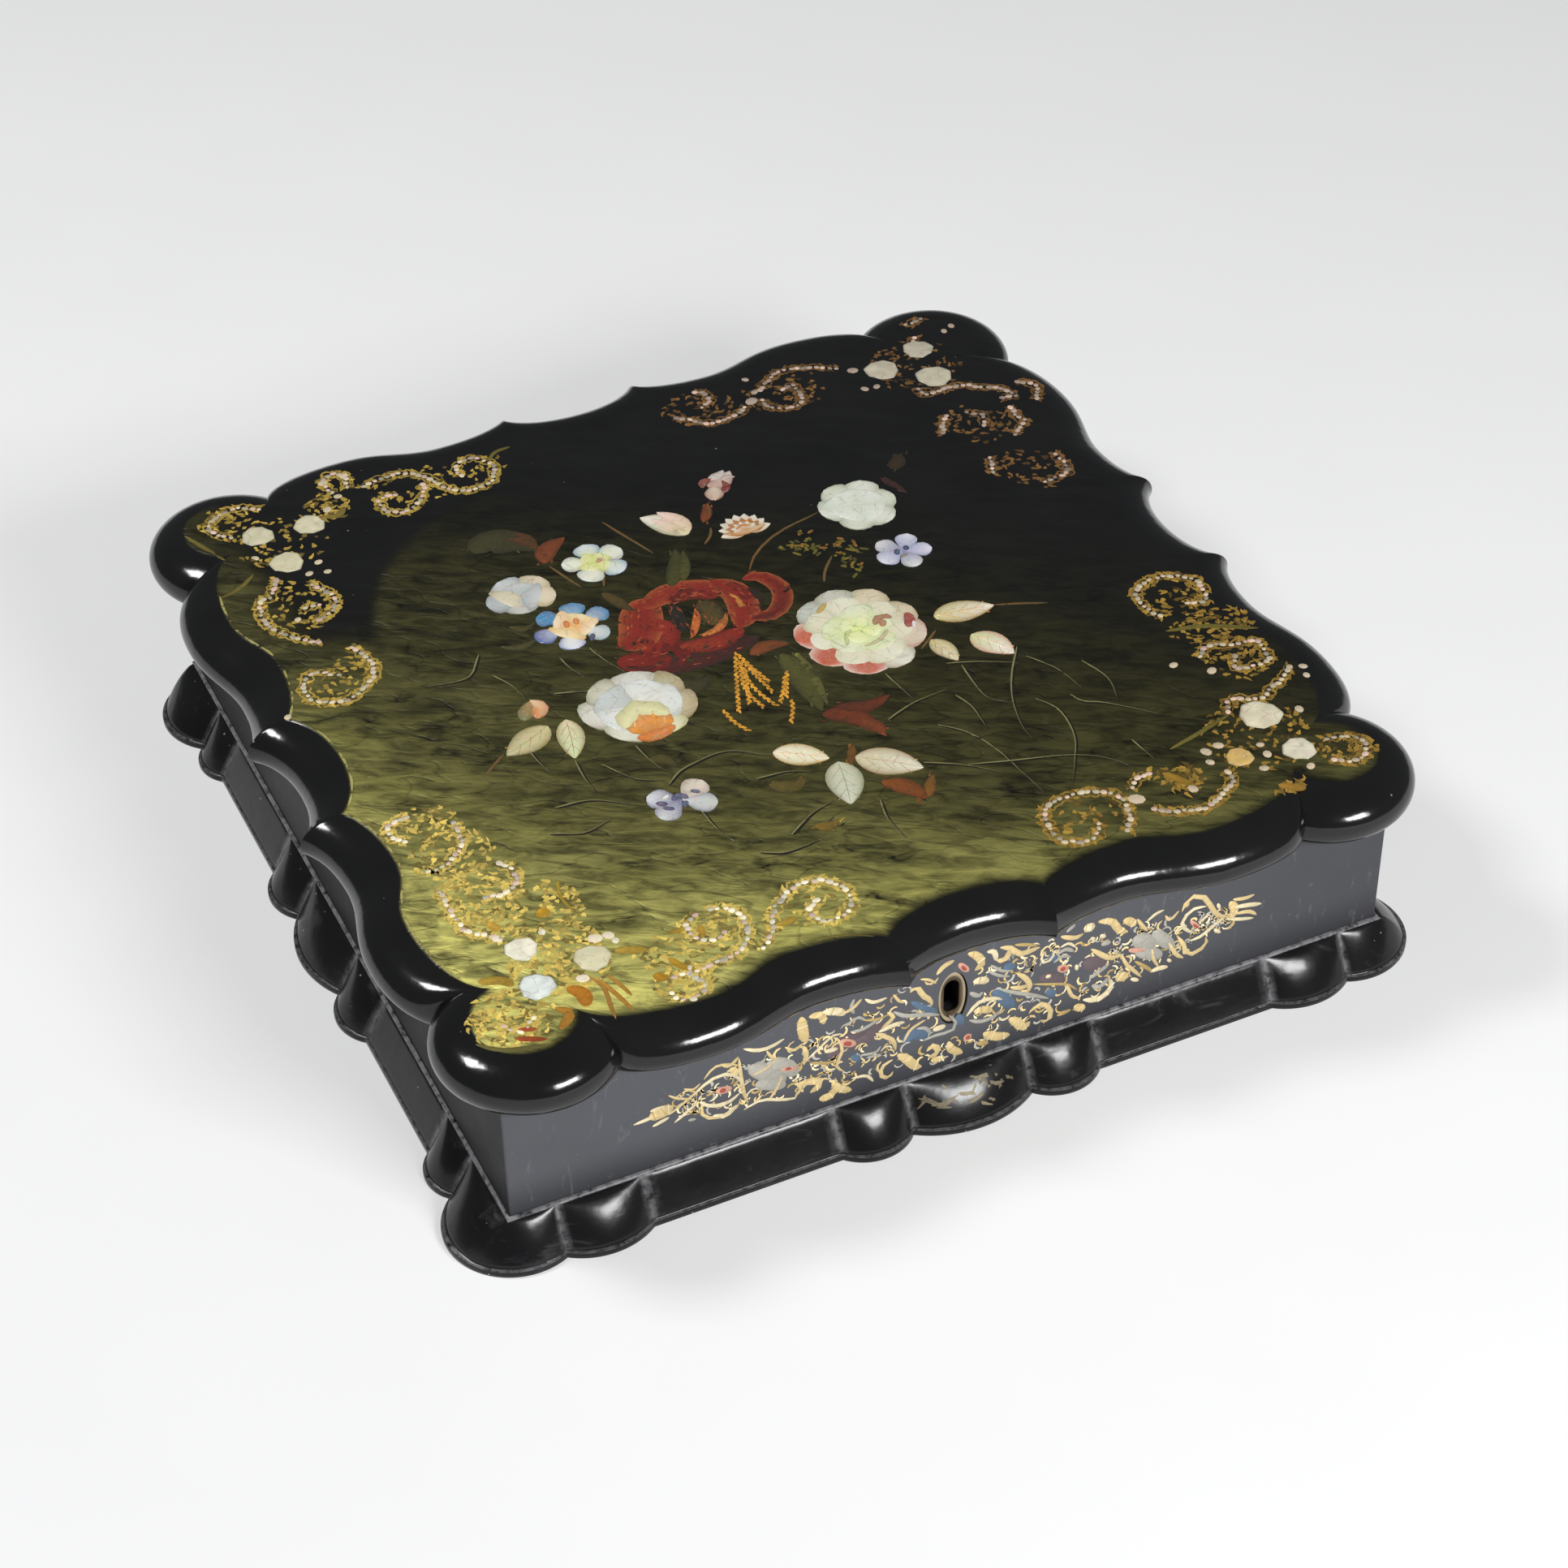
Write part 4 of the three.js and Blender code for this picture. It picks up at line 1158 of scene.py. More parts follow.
def make_blossoms(pearl):
    for name, (x, y, half_x, half_y, tiers) in BLOSSOMS.items():
        bm = new_bmesh()
        centre = Vector((x, y))
        for tier, (count, turn, inner, outer, width, colours) in enumerate(tiers):
            for k in range(count):
                angle = math.radians(turn + 360 * k / count)
                reach = Vector((half_x * math.cos(angle), half_y * math.sin(angle)))
                spread = 0.5 * math.sqrt(half_x * half_y) * outer * width * 2
                half = spread * math.sin(math.pi / max(3, count)) * 0.9
                curl = Vector((-reach.y, reach.x)) * jitter(0.06)
                middle = centre + reach * (inner + outer) / 2 + curl
                points = (centre + reach * inner, middle, centre + reach * outer)
                lift = 0.26 + 0.07 * tier + 0.02 * (k % 3)
                petal, colour = petal_like(half * (1 + jitter(0.08))), blend(*colours[k % len(colours)])
                blade(bm, points, petal, lift, colour, on_flat, columns=8, rows=9, dome=0.35)
        for owner, points, half, colour in MARKS:
            if owner == name:
                shades = blend(colour, colour, scaled(colour, 0.8))
                blade(bm, points, stroke(half), MARK_LIFT, shades, on_flat, dome=0.1)
        finish_piece(bm, "pearl_" + name + "_petals", pearl, ["pearl_" + name])


def make_buds(pearl):
    for name, slivers in BUDS.items():
        bm = new_bmesh()
        for order, (points, half, root, tip, edge) in enumerate(slivers):
            lift = 0.28 + 0.18 * order / len(slivers)
            shades = blend(root, tip, edge)
            blade(bm, points, leafy(half), lift, shades, on_flat, columns=8, rows=10, dome=0.3)
        finish_piece(bm, "pearl_" + name + "_petals", pearl, ["pearl_" + name])


def make_leaves(pearl):
    for name, (x, y, length, width, angle, root, tip, edge, vein) in LEAVES.items():
        bm = new_bmesh()
        ahead = Vector((math.cos(math.radians(angle)), math.sin(math.radians(angle)))) * length / 2
        side = Vector((-ahead.y, ahead.x)).normalized()
        ends = Vector((x, y)) - ahead, Vector((x, y)) + side * 0.4, Vector((x, y)) + ahead
        shades = blend(root, tip, edge, 0.9)
        blade(bm, ends, leafy(width / 2), 0.36, shades, on_flat, columns=10, rows=12, dome=0.4)
        blade(bm, ends, stroke(0.35), 0.44, plain(*vein), on_flat)
        for k in range(3):
            start = Vector((x, y)) + ahead * (0.5 * k - 0.7)
            for way in (-1, 1):
                stop = start + ahead * 0.45 + side * way * width * 0.28
                blade(bm, (start, stop), tapered(0.4), 0.42, plain(*vein), on_flat, rows=4)
        finish_piece(bm, "pearl_" + name + "_cut", pearl, ["pearl_" + name])


def make_roundels(pearl):
    levels = ((0, 0.40), (0.5, 0.40), (0.86, 0.36), (0.97, 0.26), (1.0, 0.1), (1.0, -0.3), (0, -0.3))
    for index, (name, x, y, radius, colour) in enumerate(ROUNDELS):
        def place(share, along):
            angle = math.tau * share
            facet = math.cos(math.pi / 8) / math.cos((angle + index) % (math.pi / 4) - math.pi / 8)
            reach, up = levels[round(along * 6)]
            reach *= radius * facet * (1 + 0.05 * math.sin(3 * angle + index))
            return (x + reach * math.cos(angle), y + reach * math.sin(angle), LID_TOP + up)

        def paint(share, along):
            mottle = noise.noise(Vector((6 * share, 3 * along, index))) * 0.25
            edge = 0.72 if round(along * 6) > 2 else 1
            return (*(min(1, c * (1 + mottle) * edge) for c in lin(*colour)), 1)

        bm = new_bmesh()
        sheet(bm, 48, 6, place, paint)
        finish_piece(bm, "pearl_" + name + "_disc", pearl, ["pearl_" + name])


# Painted bouquet: points, half width, kind of outline, colour at the root, tip and edge
POPPY, POPPY_DARK, POPPY_EDGE = (128, 38, 28), (84, 28, 22), (158, 84, 46)
PAINTING = (
    (((-44, 2), (-34, -3), (-16, -4), (2, -1)), 4.5, stroke, (84, 34, 28), (56, 32, 28), (44, 34, 26)),
    (((-45.5, 7), (-36, 2), (-27, 3), (-19, 5)), 6.5, stroke, POPPY, POPPY_DARK, (96, 30, 24)),
    (((-41, 12), (-33, 17), (-28, 27), (-22, 34)), 7.5, stroke, POPPY, POPPY, POPPY_EDGE),
    (((-36, 8), (-27, 12), (-24, 22)), 6, stroke, POPPY, (136, 44, 30), POPPY_DARK),
    (((-26, 30), (-15, 34), (-4, 32), (2, 30)), 5, stroke, (140, 48, 32), POPPY, POPPY_EDGE),
    (((-17, 30), (-8, 30), (-1, 25)), 3.2, stroke, POPPY_DARK, POPPY, (90, 26, 22)),
    (((0, 34), (5, 24), (3, 13), (-2, 6)), 5.5, stroke, POPPY, POPPY, POPPY_EDGE),
    (((-24, 5), (-13, 2), (-1, 5)), 4.2, stroke, (140, 54, 32), POPPY, POPPY_DARK),
    (
        ((3, 9), (11, 8), (17, 13), (19.5, 21), (16, 29), (10, 30)), 3.6, stroke, POPPY_DARK, POPPY,
        POPPY_EDGE,
    ),
    (((5, 30), (8, 22), (7, 12)), 2.4, stroke, POPPY, POPPY_DARK, (90, 26, 22)),
    (((-16.5, 27), (-18, 20), (-19, 12)), 2.6, stroke, (34, 32, 24), (40, 36, 26), (30, 30, 22)),
    (((-8, 25), (-7, 18), (-9, 11)), 4.2, stroke, (70, 62, 34), (84, 70, 34), (48, 42, 26)),
    (((-18, 8), (-13, 16), (-11, 21)), 1.4, stroke, (200, 110, 52), (170, 90, 44), (150, 80, 40)),
    (((-15, 7), (-8, 9), (-3, 14)), 1.6, stroke, (206, 122, 60), (160, 100, 50), (140, 70, 40)),
    (((10.5, 25), (11, 20), (10, 15)), 1.5, stroke, (40, 30, 24), (44, 32, 24), (36, 28, 22)),
    (((3, 24), (4, 20), (3, 15)), 1.0, stroke, (196, 130, 60), (170, 110, 50), (150, 80, 40)),
    (((-65, 84), (-59, 88), (-50, 84), (-45, 76)), 7, leafy, (74, 70, 38), (64, 60, 34), (50, 48, 30)),
    (((-52, 90), (-47, 84), (-45, 76)), 3.4, leafy, (110, 66, 34), (96, 60, 32), (70, 50, 30)),
    (((-46, 68), (-42, 75), (-34, 79)), 3.8, leafy, (150, 76, 40), (130, 66, 34), (100, 56, 32)),
    (((-13, 37), (-7, 46), (-3, 56)), 3.2, leafy, (84, 82, 36), (70, 70, 34), (50, 52, 30)),
    (((-8, 38), (-4, 46), (-1, 54)), 2.2, leafy, (96, 92, 40), (74, 74, 36), (56, 56, 30)),
    (((-35, 44), (-32, 36), (-30, 30)), 2.4, leafy, (100, 80, 36), (84, 70, 34), (60, 52, 30)),
    (((12, 66), (15, 70), (18, 76)), 2.0, leafy, (150, 76, 40), (130, 66, 36), (90, 50, 30)),
    (((-5, -9), (2, -7), (9, -9)), 3, leafy, (150, 80, 40), (130, 70, 36), (96, 56, 32)),
    (((4, -13), (5, -28), (3, -46)), 5, leafy, (96, 96, 44), (86, 84, 38), (62, 62, 32)),
    (((9, -16), (8, -30), (6, -44)), 2, leafy, (120, 116, 56), (100, 96, 46), (76, 74, 38)),
    (((2, -48), (10, -52), (16, -62)), 4.4, leafy, (120, 56, 30), (134, 62, 32), (84, 44, 28)),
    (((8, -46), (17, -50), (26, -48)), 3, leafy, (100, 50, 30), (120, 56, 30), (70, 40, 28)),
    (((12, -56), (15, -61), (16, -65)), 3, leafy, (140, 70, 36), (130, 66, 34), (90, 50, 30)),
    (((4, -86), (10, -92), (13, -100)), 3.6, leafy, (150, 84, 34), (136, 72, 30), (100, 60, 30)),
    (((14, -99), (17, -94), (20, -90)), 2, leafy, (150, 96, 36), (120, 84, 36), (90, 66, 32)),
    (((-24, -96), (-20, -98), (-16, -97)), 2.4, leafy, (150, 120, 44), (130, 104, 40), (90, 80, 36)),
    (((4, -66), (1, -71), (-1, -75)), 1.6, leafy, (136, 90, 36), (110, 76, 34), (80, 60, 30)),
    (((-28, -72), (-22, -76), (-16, -74)), 3, leafy, (110, 96, 40), (100, 84, 36), (76, 68, 34)),
    (((-56, -44), (-52, -46), (-50, -50)), 2.6, leafy, (96, 86, 38), (84, 76, 36), (60, 56, 30)),
    (((-34, -12), (-28, -16), (-22, -14)), 4, leafy, (74, 68, 36), (64, 60, 34), (48, 46, 28)),
    (((-76, 30), (-70, 28), (-64, 30)), 1.6, leafy, (90, 84, 44), (80, 76, 40), (56, 54, 32)),
    (((-70, 40), (-66, 37), (-62, 38)), 1.8, leafy, (90, 84, 40), (80, 76, 38), (56, 54, 30)),
    (((84, 66), (88, 69), (91, 73)), 3, leafy, (64, 50, 30), (60, 46, 28), (44, 38, 26)),
    (((78, 62), (80, 58), (82, 52)), 1.6, leafy, (70, 44, 40), (64, 40, 36), (46, 34, 30)),
)
STEMS = (
    ((-19, 82), (-15, 70), (-10.5, 57)), ((14, 33), (20, 41), (32, 49), (50, 54)),
    ((33.7, 16), (37, 22), (43, 29)), ((7, 54), (11, 58), (13, 62)), ((-45, 66), (-42, 56), (-40, 50)),
    ((-33, 47), (-31, 52), (-29, 56)), ((18, 76), (17, 72), (15, 68)), ((55, -24), (50, -28), (46, -31)),
    ((78, -20), (86, -23), (95, -27)), ((-96, -21), (-101, -25), (-106, -29)),
)
FERN = (
    (29.7, 40), (35, 38), (41, 44), (37, 36), (44, 33), (52, 36), (45, 30), (47, 22), (44, 17), (50, 27),
    (54, 28),
)
WHEAT_EARS = (
    ((-9, -5.3), (-7.5, -15), (-5.7, -24.7)), ((-9.4, -7), (-15, -20), (-21, -34.7)),
    ((-9.6, -10), (-11.5, -24), (-9, -37)), ((0.3, -24), (-3, -30), (-7, -36)),
    ((-3, -36), (-5, -41), (-8.3, -46.7)), ((-25, -31.3), (-24.5, -38), (-22.3, -44.7)),
    ((-9.2, -14), (-12.5, -22), (-16, -32)), ((-8.6, -10), (-8, -20), (-7, -30)),
    ((-10, -12), (-14, -24), (-13, -36)), ((2, -22), (-1, -28), (-4, -34)),
)
TENDRILS = (
    ((-61, 17), (-60, 10), (-57.7, 4)), ((-50.3, 17.3), (-48, 8), (-45, 0)),
    ((-77, -34.7), (-77.6, -44), (-77, -52)), ((-70.3, -40), (-64, -51), (-55.7, -56)),
    ((-91.7, -53.3), (-79.7, -55), (-67.7, -63.3)), ((-51.7, -74.7), (-50.5, -86), (-47.7, -94.7)),
    ((-31.7, -97.3), (-22, -91), (-13, -88)), ((-55.7, -58.7), (-47.7, -53.3), (-33, -51.3), (-21, -60)),
    ((33, -69), (39, -76), (43, -85), (45, -96), (47, -115)),
    ((75, -44), (66, -57), (60, -69), (56.5, -82), (56.5, -90)),
    ((67, -71), (71, -80), (69, -93), (63, -104), (56.5, -114)), ((54, -45), (53.5, -63), (60, -70)),
    ((32, -91), (44, -95), (63, -101), (73, -108), (78, -116)), ((75, -50), (81, -61), (83, -73)),
    ((84, -103), (85, -109), (85.5, -115)), ((50, -42), (60, -46), (71, -52)),
    ((78, -74), (80, -79), (86, -83), (99, -96)), ((-88, -22), (-87.5, -30), (-86, -38)),
    ((-57, -36), (-56, -44), (-54, -52)), ((30, -38), (31, -46), (32, -54)),
    ((20, -60), (30, -56), (44, -54)), ((-84, 18), (-80, 8), (-79, 0)),
    ((-84, 30), (-92, 20), (-106, 22)), ((-70, 0), (-62, -3), (-56, -6)),
    ((45, -58), (47, -66), (46, -78)), ((-44, -100), (-36, -104), (-24, -103)),
    ((90, -60), (93, -72), (90, -84)), ((-30, -68), (-20, -69), (-13, -72)),
    ((0, -94), (-2, -104), (-1, -114)), ((20, -84), (30, -90), (40, -99)),
    ((-98, -64), (-88, -68), (-78, -66)),
)


def make_painting(paint):
    bm = new_bmesh()
    for order, (points, half, outline, root, tip, edge) in enumerate(PAINTING):
        if order >= POPPY_STROKES:
            root, tip, edge = (scaled(colour, 0.84) for colour in (root, tip, edge))
        shades, lift = blend(root, tip, edge, 0.9), 0.03 + 0.0025 * order
        blade(bm, points, outline(half), lift, shades, columns=8, rows=14, dome=0.1)
    # Dry strokes of the brush over the poppy and the leaves
    for order, (points, half, outline, root, tip, edge) in enumerate(PAINTING):
        petal = order < POPPY_STROKES
        accents = (POPPY, (158, 72, 44)) if petal else ((36, 34, 22), (58, 54, 30))
        steps = 9 if petal else 6
        for spot, ahead in sampled(points, [i / steps for i in range(steps)]):
            for _ in range(3):
                start = spot + Vector((-ahead.y, ahead.x)) * jitter(0.8 * half) + ahead * jitter(1.5)
                colour = varied(dice.choice((root, tip, edge, *accents)), 0.35)
                run = ahead * dice.uniform(1.5, 3.2) + Vector((jitter(0.7), jitter(0.7)))
                shape = tapered(0.34 if petal else 0.5)
                blade(bm, (start, start + run), shape, 0.12, solid(colour), columns=3, rows=3)
    stem = blend((124, 84, 44), (104, 88, 46), (70, 60, 34))
    for points in STEMS:
        blade(bm, points, stroke(0.55), 0.12, stem, rows=10)
    for start, stop in zip(FERN, FERN[1:]):
        for _ in range(7):
            at = Vector(start).lerp(Vector(stop), dice.random()) + Vector((jitter(2.4), jitter(2.4)))
            run = Vector((jitter(3), jitter(3)))
            sprig = dice.choice(((120, 104, 36), (92, 88, 36), (140, 96, 40), (74, 72, 34)))
            colour = varied(sprig, 0.2)
            blade(bm, (at, at + run), stroke(0.6), 0.08, solid(colour), columns=3, rows=4)
    finish_piece(bm, "bouquet_painting", paint)

    bm = new_bmesh()
    for points in WHEAT_EARS:
        count = round(curve_length(points) / GRAIN_SPACING)
        for index, (spot, ahead) in enumerate(sampled(points, [i / count for i in range(count)])):
            lean = Vector((-ahead.y, ahead.x)) * (0.75 if index % 2 else -0.75)
            colour = varied((206, 146, 46), 0.3)
            ends = spot - lean * 0.3, spot + lean + ahead * 2.0
            blade(bm, ends, leafy(0.5), 0.2, solid(colour), rows=4)
    finish_piece(bm, "wheat_ears", paint)

    bm = new_bmesh()
    pale = blend((150, 144, 92), (104, 100, 62), (60, 56, 32))
    # Each tendril: a dark line as painted shadow, and a pale line just behind it as painted highlight
    for points in TENDRILS:
        highlight_line = [Vector(p) + Vector((-0.25, 0.65)) for p in points]
        blade(bm, highlight_line, tapered(0.45), 0.14, pale, rows=22)
        blade(bm, points, tapered(0.6), 0.12, plain(20, 18, 11), rows=22)
    finish_piece(bm, "tendrils", paint)


# Scrolls at the corners: chains of pearl dots, single chips, and patches thick with gilt
CHAINS = {
    "back_left": (
        (
            (-85, 138.5), (-80, 140), (-75, 141), (-70, 140.5), (-65, 136.5), (-62, 131.5), (-60, 126.5),
            (-57, 122.5), (-52, 120), (-45, 121), (-41, 126), (-40, 131), (-42, 136), (-46, 138.5),
            (-50, 137.5), (-52.5, 134), (-52, 129.5),
        ),
        (
            (-66, 131), (-67, 127), (-70, 122.5), (-74, 119), (-78, 118), (-82, 120), (-83.5, 124),
            (-83, 128), (-80, 130), (-77, 129),
        ),
        ((-96, 140), (-97, 147), (-93, 151), (-89, 148), (-90, 141)),
        ((-122, 142), (-129, 146), (-136, 144), (-141, 140), (-140, 134), (-136, 130)),
        ((-130.5, 99.5), (-135, 91), (-139, 90), (-141, 81), (-140, 74), (-136, 67), (-129, 60)),
        ((-120, 92), (-116, 82), (-118.5, 75), (-125, 72)), ((-126.5, 80), (-122, 80)),
        ((-120, 53), (-117, 41), (-122, 32), (-132, 27), (-141, 32), (-141, 41), (-135, 45), (-129, 41)),
    ),
    "front_left": (
        ((-134, -36.5), (-141, -38), (-141.5, -44), (-138.5, -47.5)),
        ((-122, -45.5), (-122.5, -50), (-124, -57), (-132, -63), (-137.5, -64)),
        ((-117, -69.5), (-114.5, -74.5), (-115, -79), (-119.5, -83), (-126.5, -82)),
        ((-137.5, -73.5), (-138, -79), (-137.5, -92), (-135.5, -95), (-129.5, -101)),
        (
            (-84.5, -137.5), (-85, -141.5), (-83, -145.5), (-85.5, -149), (-89, -150), (-92.5, -148),
            (-93.5, -145),
        ),
        (
            (-90, -139), (-81.5, -139.5), (-75.5, -138.5), (-70, -138.5), (-65.5, -135), (-63, -131.5),
            (-61.5, -128), (-61.5, -122), (-64.5, -118), (-68.5, -117),
        ),
        ((-73, -117.5), (-77, -119), (-78, -123), (-77.5, -126.5), (-73, -129.5), (-68.5, -128)),
        (
            (-61, -139), (-58, -136), (-55.5, -133), (-51, -125), (-47, -122), (-42.5, -119),
            (-37.5, -118.5), (-32.5, -120), (-29, -124), (-28, -129), (-30, -134), (-34, -137),
            (-39, -137), (-42, -133.5), (-41.5, -129.5), (-38, -127.5),
        ),
        ((-142, -137), (-138, -141), (-133, -137)),
    ),
    "front_right": (
        (
            (61, -140), (65, -134), (66.5, -128.5), (65.5, -123), (61.5, -120), (55.5, -118), (50, -118),
            (45, -119), (42, -122), (40.5, -125.5), (39.5, -131.5), (41, -136), (45, -138.5), (49, -139),
            (53, -136.5), (54.5, -133.5),
        ),
        ((72.5, -123), (75.5, -120), (80.5, -119.5)),
        (
            (73, -135), (77, -138.5), (81, -140), (86, -141.5), (90, -141), (93.5, -139.5), (98, -136.5),
            (101.5, -134), (102.5, -130),
        ),
        (
            (138.5, -129), (143, -130), (148.5, -134.5), (146.5, -139.5), (142.5, -142.5),
            (138.5, -141.5), (135, -139),
        ),
        (
            (118, -103.5), (120, -100), (124, -99), (132, -102.5), (137, -99), (141.5, -97.5),
            (145, -94.5), (148, -92),
        ),
        (
            (125, -75), (130, -71), (138.5, -74), (146, -76), (145.5, -80), (143.5, -86.5),
            (132.5, -85.5), (135, -80),
        ),
        (
            (124.5, -50), (122, -42), (125, -34), (136, -31), (144.5, -37), (145, -43), (142, -49),
            (136, -48),
        ),
    ),
    "back_right": (
        (
            (30, 129), (33, 127), (35.5, 124), (39, 121), (43.5, 120.5), (47.5, 121), (51.5, 122),
            (55, 125),
        ),
        ((42.5, 141.5), (45.5, 139.5), (45, 134), (41, 131.5)),
        ((64.5, 132), (68.5, 136), (73, 139.5), (78, 140.5), (82.5, 139.5), (89.5, 137), (95, 133)),
        (
            (62, 126), (62, 122), (65.5, 118.5), (70.5, 117), (74.5, 119), (76.5, 124), (76, 130),
            (72, 129),
        ),
        (
            (115.5, 107), (116, 103), (120.5, 103), (130, 103), (135.5, 99), (141.5, 95.5), (145, 88),
            (140, 89),
        ),
        ((150, 95.5), (154.5, 91), (153.5, 87), (151, 82.5)), ((131.5, 148), (138, 149.5)),
        ((130, 139), (126.5, 134)), ((117, 87), (112.5, 83), (111, 78)),
        ((124.5, 86), (128.5, 82), (126, 76)), ((140, 82), (138.5, 76), (139.8, 72), (132.6, 66)),
        ((114.8, 48.3), (118.3, 56.7)), ((127.9, 35.2), (138.6, 37.6), (139.8, 48.3)),
    ),
}
# Single chips: x, y, size
CHIPS = {
    "back_left": (
        (-97, 147, 1.6), (-89, 148, 1.6), (-101, 131, 1.5), (-95, 137, 1.3), (-132.5, 114.5, 1.4),
        (-114, 103, 1.3), (-119, 98, 1.3), (-113, 96.5, 1.2), (-131, 75, 1.2), (-151, 27, 1.2),
    ),
    "front_left": (
        (-104, -113.5, 2.0), (-100, -114, 1.7), (-114, -128, 1.8), (-130, -101, 1.6), (-117, -104, 1.2),
        (-99, -117, 1.2),
    ),
    "front_right": (
        (70.5, -128.5, 2.4), (88.5, -132, 1.7), (101.5, -118, 1.7), (106.5, -117, 1.6), (100, -123, 1.3),
        (113.5, -133, 1.4), (118, -127.5, 1.5), (118.5, -122.5, 1.2), (127, -138.5, 1.4),
        (139, -112.5, 1.5), (152, -94, 1.3), (150.5, -98.5, 1.2), (124.5, -83, 1.6), (115, -75, 1.4),
    ),
    "back_right": (
        (58.5, 127, 2.2), (62, 132, 1.3), (62.5, 141, 1.2), (100, 129, 1.8), (98.5, 116, 1.4),
        (103, 115.5, 1.3), (146, 140, 1.3), (142, 138, 1.2),
    ),
}
# Patches thick with gilt leaves: x, y, half sizes, how many
THICKETS = {
    "back_left": (
        (-100, 132, 7, 9, 26), (-128, 83, 13, 15, 30), (-129, 38, 12, 12, 24), (-122, 120, 17, 15, 34),
        (-135, 140, 9, 8, 18), (-62, 130, 26, 12, 26),
    ),
    "front_left": (
        (-131, -42, 11, 9, 34), (-128, -60, 13, 12, 48), (-128, -84, 13, 18, 90),
        (-117, -116, 16, 17, 95), (-139, -134, 13, 12, 70), (-107, -94, 6, 12, 26), (-88, -142, 9, 7, 30),
        (-70, -126, 11, 11, 22), (-40, -128, 14, 10, 22), (-86, -128, 12, 7, 20),
    ),
    "front_right": (
        (136, -62, 15, 9, 44), (135.5, -42, 12, 12, 26), (135, -80, 12, 11, 26), (88, -126, 7, 8, 26),
        (50, -128, 14, 10, 20), (120, -118, 18, 17, 46), (142, -136, 10, 9, 24), (116, -144, 5, 3, 10),
    ),
    "back_right": (
        (40, 131, 13, 11, 22), (72, 128, 16, 12, 24), (122, 122, 18, 16, 32), (124, 78, 14, 13, 22),
        (129, 45, 13, 13, 22),
    ),
}
# Colours of the pearl dots and of the gilt leaves at each corner
PINK_SHELL = (206, 176, 156)
DOT_COLOURS = {
    "back_left": (206, 190, 156), "front_left": (236, 224, 194), "front_right": (198, 180, 150),
    "back_right": (172, 150, 132),
}
GILT_COLOURS = {
    "back_left": (178, 150, 66), "front_left": (208, 182, 92), "front_right": (156, 124, 52),
    "back_right": (124, 90, 50),
}


def make_scrolls(pearl, gilt):
    for corner, chains in CHAINS.items():
        dots, leaves = new_bmesh(), new_bmesh()
        shell, gold = DOT_COLOURS[corner], GILT_COLOURS[corner]
        shells = (shell, shell, scaled(shell, 0.8), PINK_SHELL)
        golds = (gold, gold, scaled(gold, 1.1), scaled(gold, 0.66))

        def leaf(spot, run, half):
            tone = varied(dice.choice(golds), 0.3)
            bend = spot + run / 2 + Vector((-run.y, run.x)) * jitter(0.25)
            blade(leaves, (spot, bend, spot + run), tapered(half), 0.16, solid(tone), columns=3, rows=4)

        for chain in chains:
            count = max(1, round(curve_length(chain) / DOT_SPACING))
            # Wavy gilt lines on both sides of the dots
            for offset in (-1.7, 1.7):
                run = sampled(chain, [i / (2 * count) for i in range(2 * count + 1)])
                wave = [spot + Vector((-ahead.y, ahead.x)) * (offset + jitter(0.9))
                        for spot, ahead in run]
                tone = varied(gold, 0.15)
                if len(wave) > 3:
                    blade(leaves, wave, stroke(0.36), 0.13, solid(tone), columns=3, rows=4 * count)
            middle = sum((Vector(p) for p in chain), Vector((0, 0))) / len(chain)
            for spot, ahead in sampled(chain, [i / count for i in range(count + 1)]):
                spot = spot + Vector((jitter(0.4), jitter(0.4)))
                size = dice.uniform(0.72, 1.2)
                colour = varied(dice.choice(shells), 0.25)
                turn = math.atan2(ahead.y, ahead.x) + jitter(0.5)
                bead(dots, spot, size, colour, turn=turn, long=dice.uniform(1.0, 1.45))
                side = Vector((-ahead.y, ahead.x))
                side = side if side.dot(spot - middle) > 0 else -side
                for way, chance in ((1, 1.0), (1, 0.9), (-1, 0.7)):
                    if dice.random() < chance:
                        lean = ahead * jitter(2.2) + side * way * dice.uniform(1.0, 2.3)
                        foot = spot + side * way * 0.7 + ahead * jitter(1.1)
                        leaf(foot, lean, dice.uniform(0.6, 1.15))
        for x, y, size in CHIPS[corner]:
            bead(dots, Vector((x, y)), size, varied(shell, 0.1), turn=jitter(1.5), long=1.25)
        for x, y, half_x, half_y, count in THICKETS[corner]:
            for _ in range(round(2.4 * count)):
                angle, reach = dice.uniform(0, math.tau), math.sqrt(dice.random())
                across, along = half_x * reach * math.cos(angle), half_y * reach * math.sin(angle)
                spot = Vector((x + across, y + along))
                turn = angle + math.pi / 2 + jitter(0.9)
                run = Vector((math.cos(turn), math.sin(turn))) * dice.uniform(1.3, 3.6)
                leaf(spot, run, dice.uniform(0.55, 1.2))
        for points, half, colour in STROKES.get(corner, ()):
            blade(leaves, points, stroke(half), 0.2, blend(colour, scaled(colour, 0.8)), rows=10)
        finish_piece(dots, "pearl_dots_" + corner, pearl)
        finish_piece(leaves, "gilt_scrolls_" + corner, gilt)


